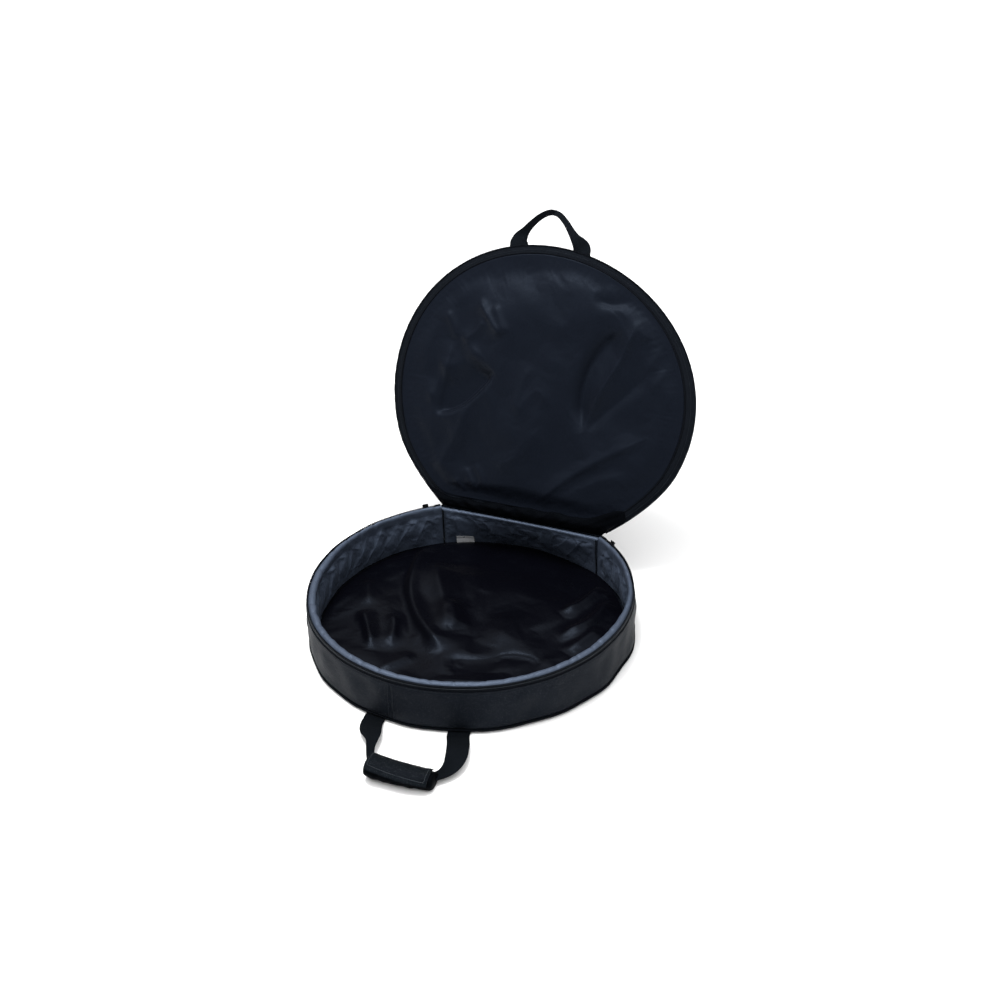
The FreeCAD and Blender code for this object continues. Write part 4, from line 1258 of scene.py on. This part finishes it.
def carry_handle():
    """One strap from under the tub round through the padded grip and back, and the grip on it."""
    # across, outward, height and width
    route = [(-73, -48, -1.0, 38), (-73, -20, -1.0, 38), (-73, 0, -0.6, 38), (-71, 16, 2.0, 38),
             (-64, 36, 6.5, 37.5), (-55, 52, 9.0, 31), (-49, 66, 9.5, 21), (-45, 82, 7.0, 15),
             (-39, 97, 3.0, 14), (-28, 112, 1.0, 17), (-14, 122, 1.5, 24), (25, 127, 1.5, 25),
             (58, 124, 1.0, 23), (74, 117, 0.5, 20), (86, 107, 1.0, 21), (94, 95, 3.0, 27),
             (98, 80, 6.0, 33), (97, 62, 8.5, 37), (92, 41, 8.0, 38), (85, 20, 3.5, 38),
             (78, 0, -0.6, 38), (77, -20, -1.0, 38), (77, -48, -1.0, 38)]
    line = curve(route, 300)
    path = handle(line[:, 0], line[:, 1], line[:, 2])
    path[:, 2] = np.maximum(path[:, 2], 2.1)
    across = np.cross(np.gradient(path, axis=0), (0, 0, 1.0))
    thick = 1.7 + 1.0 * smooth(line[:, 1], 70, 105)
    obj = webbing("handle_strap", path, across, line[:, 3], thick)
    dress(obj, WEBBING, "webbing", None, "handle_webbing", "handle_tail_left", "handle_tail_right")
    out = handle(0, 1.0, 0) - handle(0, 0, 0)
    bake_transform(obj)

    wrap, loop_side, hook_side = (20.0, 13.4), (20.8, 14.3), (21.8, 15.2)
    half = GRIP_LEN / 2

    def fat(X):
        """The grip is fuller toward its left end."""
        return 1.02 - 0.09 * X / half

    def lift(X):
        """Its left end also lies a little higher."""
        return 2.4 - 3.0 * X / half

    x = np.linspace(-half, half, 70)
    end_share = np.clip((half - np.abs(x)) / 9.0, 0, 1)
    close = np.sqrt(np.clip(1 - (1 - end_share) ** 2, 0, 1))
    a = np.linspace(0, 2 * np.pi, 48, endpoint=False)
    Xg, A = grid(x, a)
    C = (0.80 + 0.20 * close)[:, None] * fat(Xg)
    bend = -GRIP_BEND * (Xg / half) ** 2
    from_end = half - np.abs(Xg)
    lump = 0.35 * waves(111, 22.0)(Xg, A * 18.0)
    lump = lump + 0.35 * np.sin(A * 9 + Xg / 7.0) * np.exp(-from_end / 6.0)
    D = GRIP_D + bend + 2.5 + (wrap[0] * C + lump) * np.sin(A)
    Hh = (wrap[1] * C + lump) * np.cos(A)
    P = handle(GRIP_X + Xg, D, Hh + lift(Xg))
    P[..., 2] = np.maximum(P[..., 2], 0.5)
    obj = sweep("grip_sleeve", P)
    relax(obj, 0.6 + 0.4 * (1 - smooth(from_end, 1, 8)), 1.5, 0.04, 2.0)
    # The sleeve's cloth is the grip fabric painted darker: painted shade.
    dress(obj, SLEEVE_PAINTED_SHADE, "grip_fabric", "handle", "grip_wrap", "grip_pad")

    def shaped(X, ra, rb, T):
        """A point on the grip's oval, at an angle from straight up toward away."""
        more = fat(X)
        return handle(GRIP_X + X, GRIP_D - GRIP_BEND * (X / half) ** 2 + 2.5 + ra * more * np.sin(T),
                      lift(X) + rb * more * np.cos(T))

    def fixed_edge(X):
        """Angle at which the flap's oval meets the straight line on which it opens."""
        inset = GRIP_D + 2.5 - GRIP_BEND * (X / half) ** 2 - FLAP_D
        return -np.degrees(np.arcsin(np.clip(inset / ((hook_side[0] + 2.6) * fat(X)), 0.3, 0.93)))

    def patch(name, size, thick, a0, a1, x0, x1, rough, seed, slack=0.0):
        """A curved ply round the grip between two angles from straight up toward away. Its far edge
        runs a little askew."""
        xs = np.linspace(x0, x1, 60)
        Xp, share = grid(xs, np.linspace(0, 1, 44))
        start = a0 if a0 > 0 else fixed_edge(Xp)
        T = np.radians(start + (a1 + 11.0 * Xp / half - start) * share)
        end = smooth(np.minimum(Xp - x0, x1 - Xp), 0, 5.0)
        wob = rough * waves(seed, 26.0)(Xp, T * 20) * smooth(share, 0, 0.1)
        rise = wob + slack * (1 + 0.3 * np.sin(Xp / 9.0)) * smooth(share, 0.8, 1.0)
        faces = []
        for more in (thick, 0.0):
            grown = (more + rise) * (0.7 + 0.3 * end)
            faces.append(shaped(Xp, size[0] + grown, size[1] + grown, T))
        return ply(name, *faces)

    size = wrap[0] + 0.5, wrap[1] + 0.5
    obj = patch("grip_loop_patch", size, 0.8, 26, 60, -half + 8, half - 12, 0.05, 5)
    dress(obj, PILE, "hook_and_loop", "handle", "grip_loop_strip")
    size = loop_side[0] + 0.7, loop_side[1] + 0.6
    obj = patch("grip_hook_patch", size, 0.6, 28, 60, -half + 8, half - 14, 0.05, 5)
    dress(obj, PILE, "hook_and_loop", "flap", "grip_hook_strip")
    size = hook_side[0] + 0.4, hook_side[1] + 0.3
    obj = patch("grip_flap_cover", size, 1.5, -72, 68, -half + 4, half - 7, 0.4, 9, 2.4)
    dress(obj, GRIP, "grip_fabric", "flap", "grip_flap")

    def flap_seam(X, T):
        """A row of stitches on the flap."""
        p = shaped(X, hook_side[0] + 2.1, hook_side[1] + 2.0, T)
        faces = handle(0, np.sin(T), np.cos(T)) - handle(0, 0, 0)
        return stitches("row", p, faces, 3.2, 2.4, 0.3, 0.0)

    xs = np.linspace(-half + 8, half - 11, 60)
    rows = [flap_seam(xs, np.radians(fixed_edge(xs) + 12))]
    rows.append(flap_seam(xs, np.radians(47 + 11.0 * xs / half)))
    for xe, last in ((-half + 7.5, 37), (half - 11.5, 53)):
        ang = np.radians(np.linspace(fixed_edge(xe) + 14, last, 40))
        rows.append(flap_seam(xe, ang))
    # These stitches are painted pale: a painted sheen on black thread.
    dress(joined("grip_flap_stitches", rows), THREAD_PAINTED_SHEEN, "grip_fabric", "flap")


carry_handle()

# ---- zip sliders, which stay as designed ----
for node in ("slider_left", "slider_right", "pull_tab_left", "pull_tab_right"):
    mesh = frame["nodes"][node].data
    mesh.materials.clear()
    mesh.materials.append(METAL)


# ---- surroundings ----
def surroundings():
    """Pale floor, soft light from a white studio, and the camera."""
    bpy.ops.mesh.primitive_plane_add(size=60.0, location=(0, 0, -0.0005))
    floor = bpy.context.object
    floor.name = "studio_floor"
    g = Graph("studio_floor")
    g.shader.inputs["Base Color"].default_value = (0.93, 0.93, 0.93, 1)
    g.shader.inputs["Roughness"].default_value = 0.9
    floor.data.materials.append(g.material)

    world = bpy.data.worlds.new("studio")
    bpy.context.scene.world = world
    world.use_nodes = True
    nodes, links = world.node_tree.nodes, world.node_tree.links
    split = nodes.new("ShaderNodeSeparateXYZ")
    links.new(nodes.new("ShaderNodeTexCoord").outputs["Generated"], split.inputs[0])
    rise = nodes.new("ShaderNodeMapRange")
    rise.interpolation_type = "SMOOTHSTEP"
    for key, value in (("From Min", 0.35), ("From Max", 1.0), ("To Min", 0.16), ("To Max", 2.4)):
        rise.inputs[key].default_value = value
    links.new(split.outputs[2], rise.inputs["Value"])
    glow = nodes.new("ShaderNodeMapRange")
    for key, value in (("From Min", 0.0), ("From Max", 0.12), ("To Min", 0.85), ("To Max", 0.16)):
        glow.inputs[key].default_value = value
    links.new(split.outputs[2], glow.inputs["Value"])
    brighter = nodes.new("ShaderNodeMath")
    brighter.operation = "MAXIMUM"
    links.new(rise.outputs[0], brighter.inputs[0])
    links.new(glow.outputs[0], brighter.inputs[1])
    links.new(brighter.outputs[0], nodes["Background"].inputs["Strength"])
    nodes["Background"].inputs["Color"].default_value = (1, 1, 1, 1)

    def softbox(name, place, aim, size, power):
        data = bpy.data.lights.new(name, "AREA")
        data.shape = "DISK"
        data.size = size
        data.energy = power
        lamp = bpy.data.objects.new(name, data)
        lamp.location = place
        lamp.rotation_mode = "QUATERNION"
        lamp.rotation_quaternion = (Vector(aim) - Vector(place)).to_track_quat("-Z", "Y")
        bpy.context.scene.collection.objects.link(lamp)

    softbox("overhead", (-0.4, -0.1, 2.6), (0, 0.1, 0.1), 1.0, 66)
    softbox("left_front", (-2.2, -1.6, 1.8), (0, 0.1, 0.2), 1.4, 7)
    softbox("front_right", (1.5, -2.0, 2.4), (0, 0.1, 0.1), 1.0, 7)
    softbox("right", (2.6, -0.4, 1.6), (0, 0.1, 0.2), 1.2, 5)

    azimuth, elevation, roll = (math.radians(v) for v in (23.282, 30.390, -1.444))
    target, away = Vector((0, 0.1467, 0.1932)), 2.453
    back = Vector((math.sin(azimuth) * math.cos(elevation), -math.cos(azimuth) * math.cos(elevation),
                   math.sin(elevation)))
    right = Vector((math.cos(azimuth), math.sin(azimuth), 0))
    level_up = back.cross(right)
    side = right * math.cos(roll) + level_up * math.sin(roll)
    up = back.cross(side)
    data = bpy.data.cameras.new("camera")
    data.lens, data.sensor_width = 46.8, 36.0
    camera = bpy.data.objects.new("camera", data)
    rotation = Matrix((side, up, back)).transposed().to_4x4()
    camera.matrix_world = Matrix.Translation(target + back * away) @ rotation
    bpy.context.scene.collection.objects.link(camera)
    bpy.context.scene.camera = camera
    bpy.context.scene.view_settings.view_transform = "Standard"


surroundings()
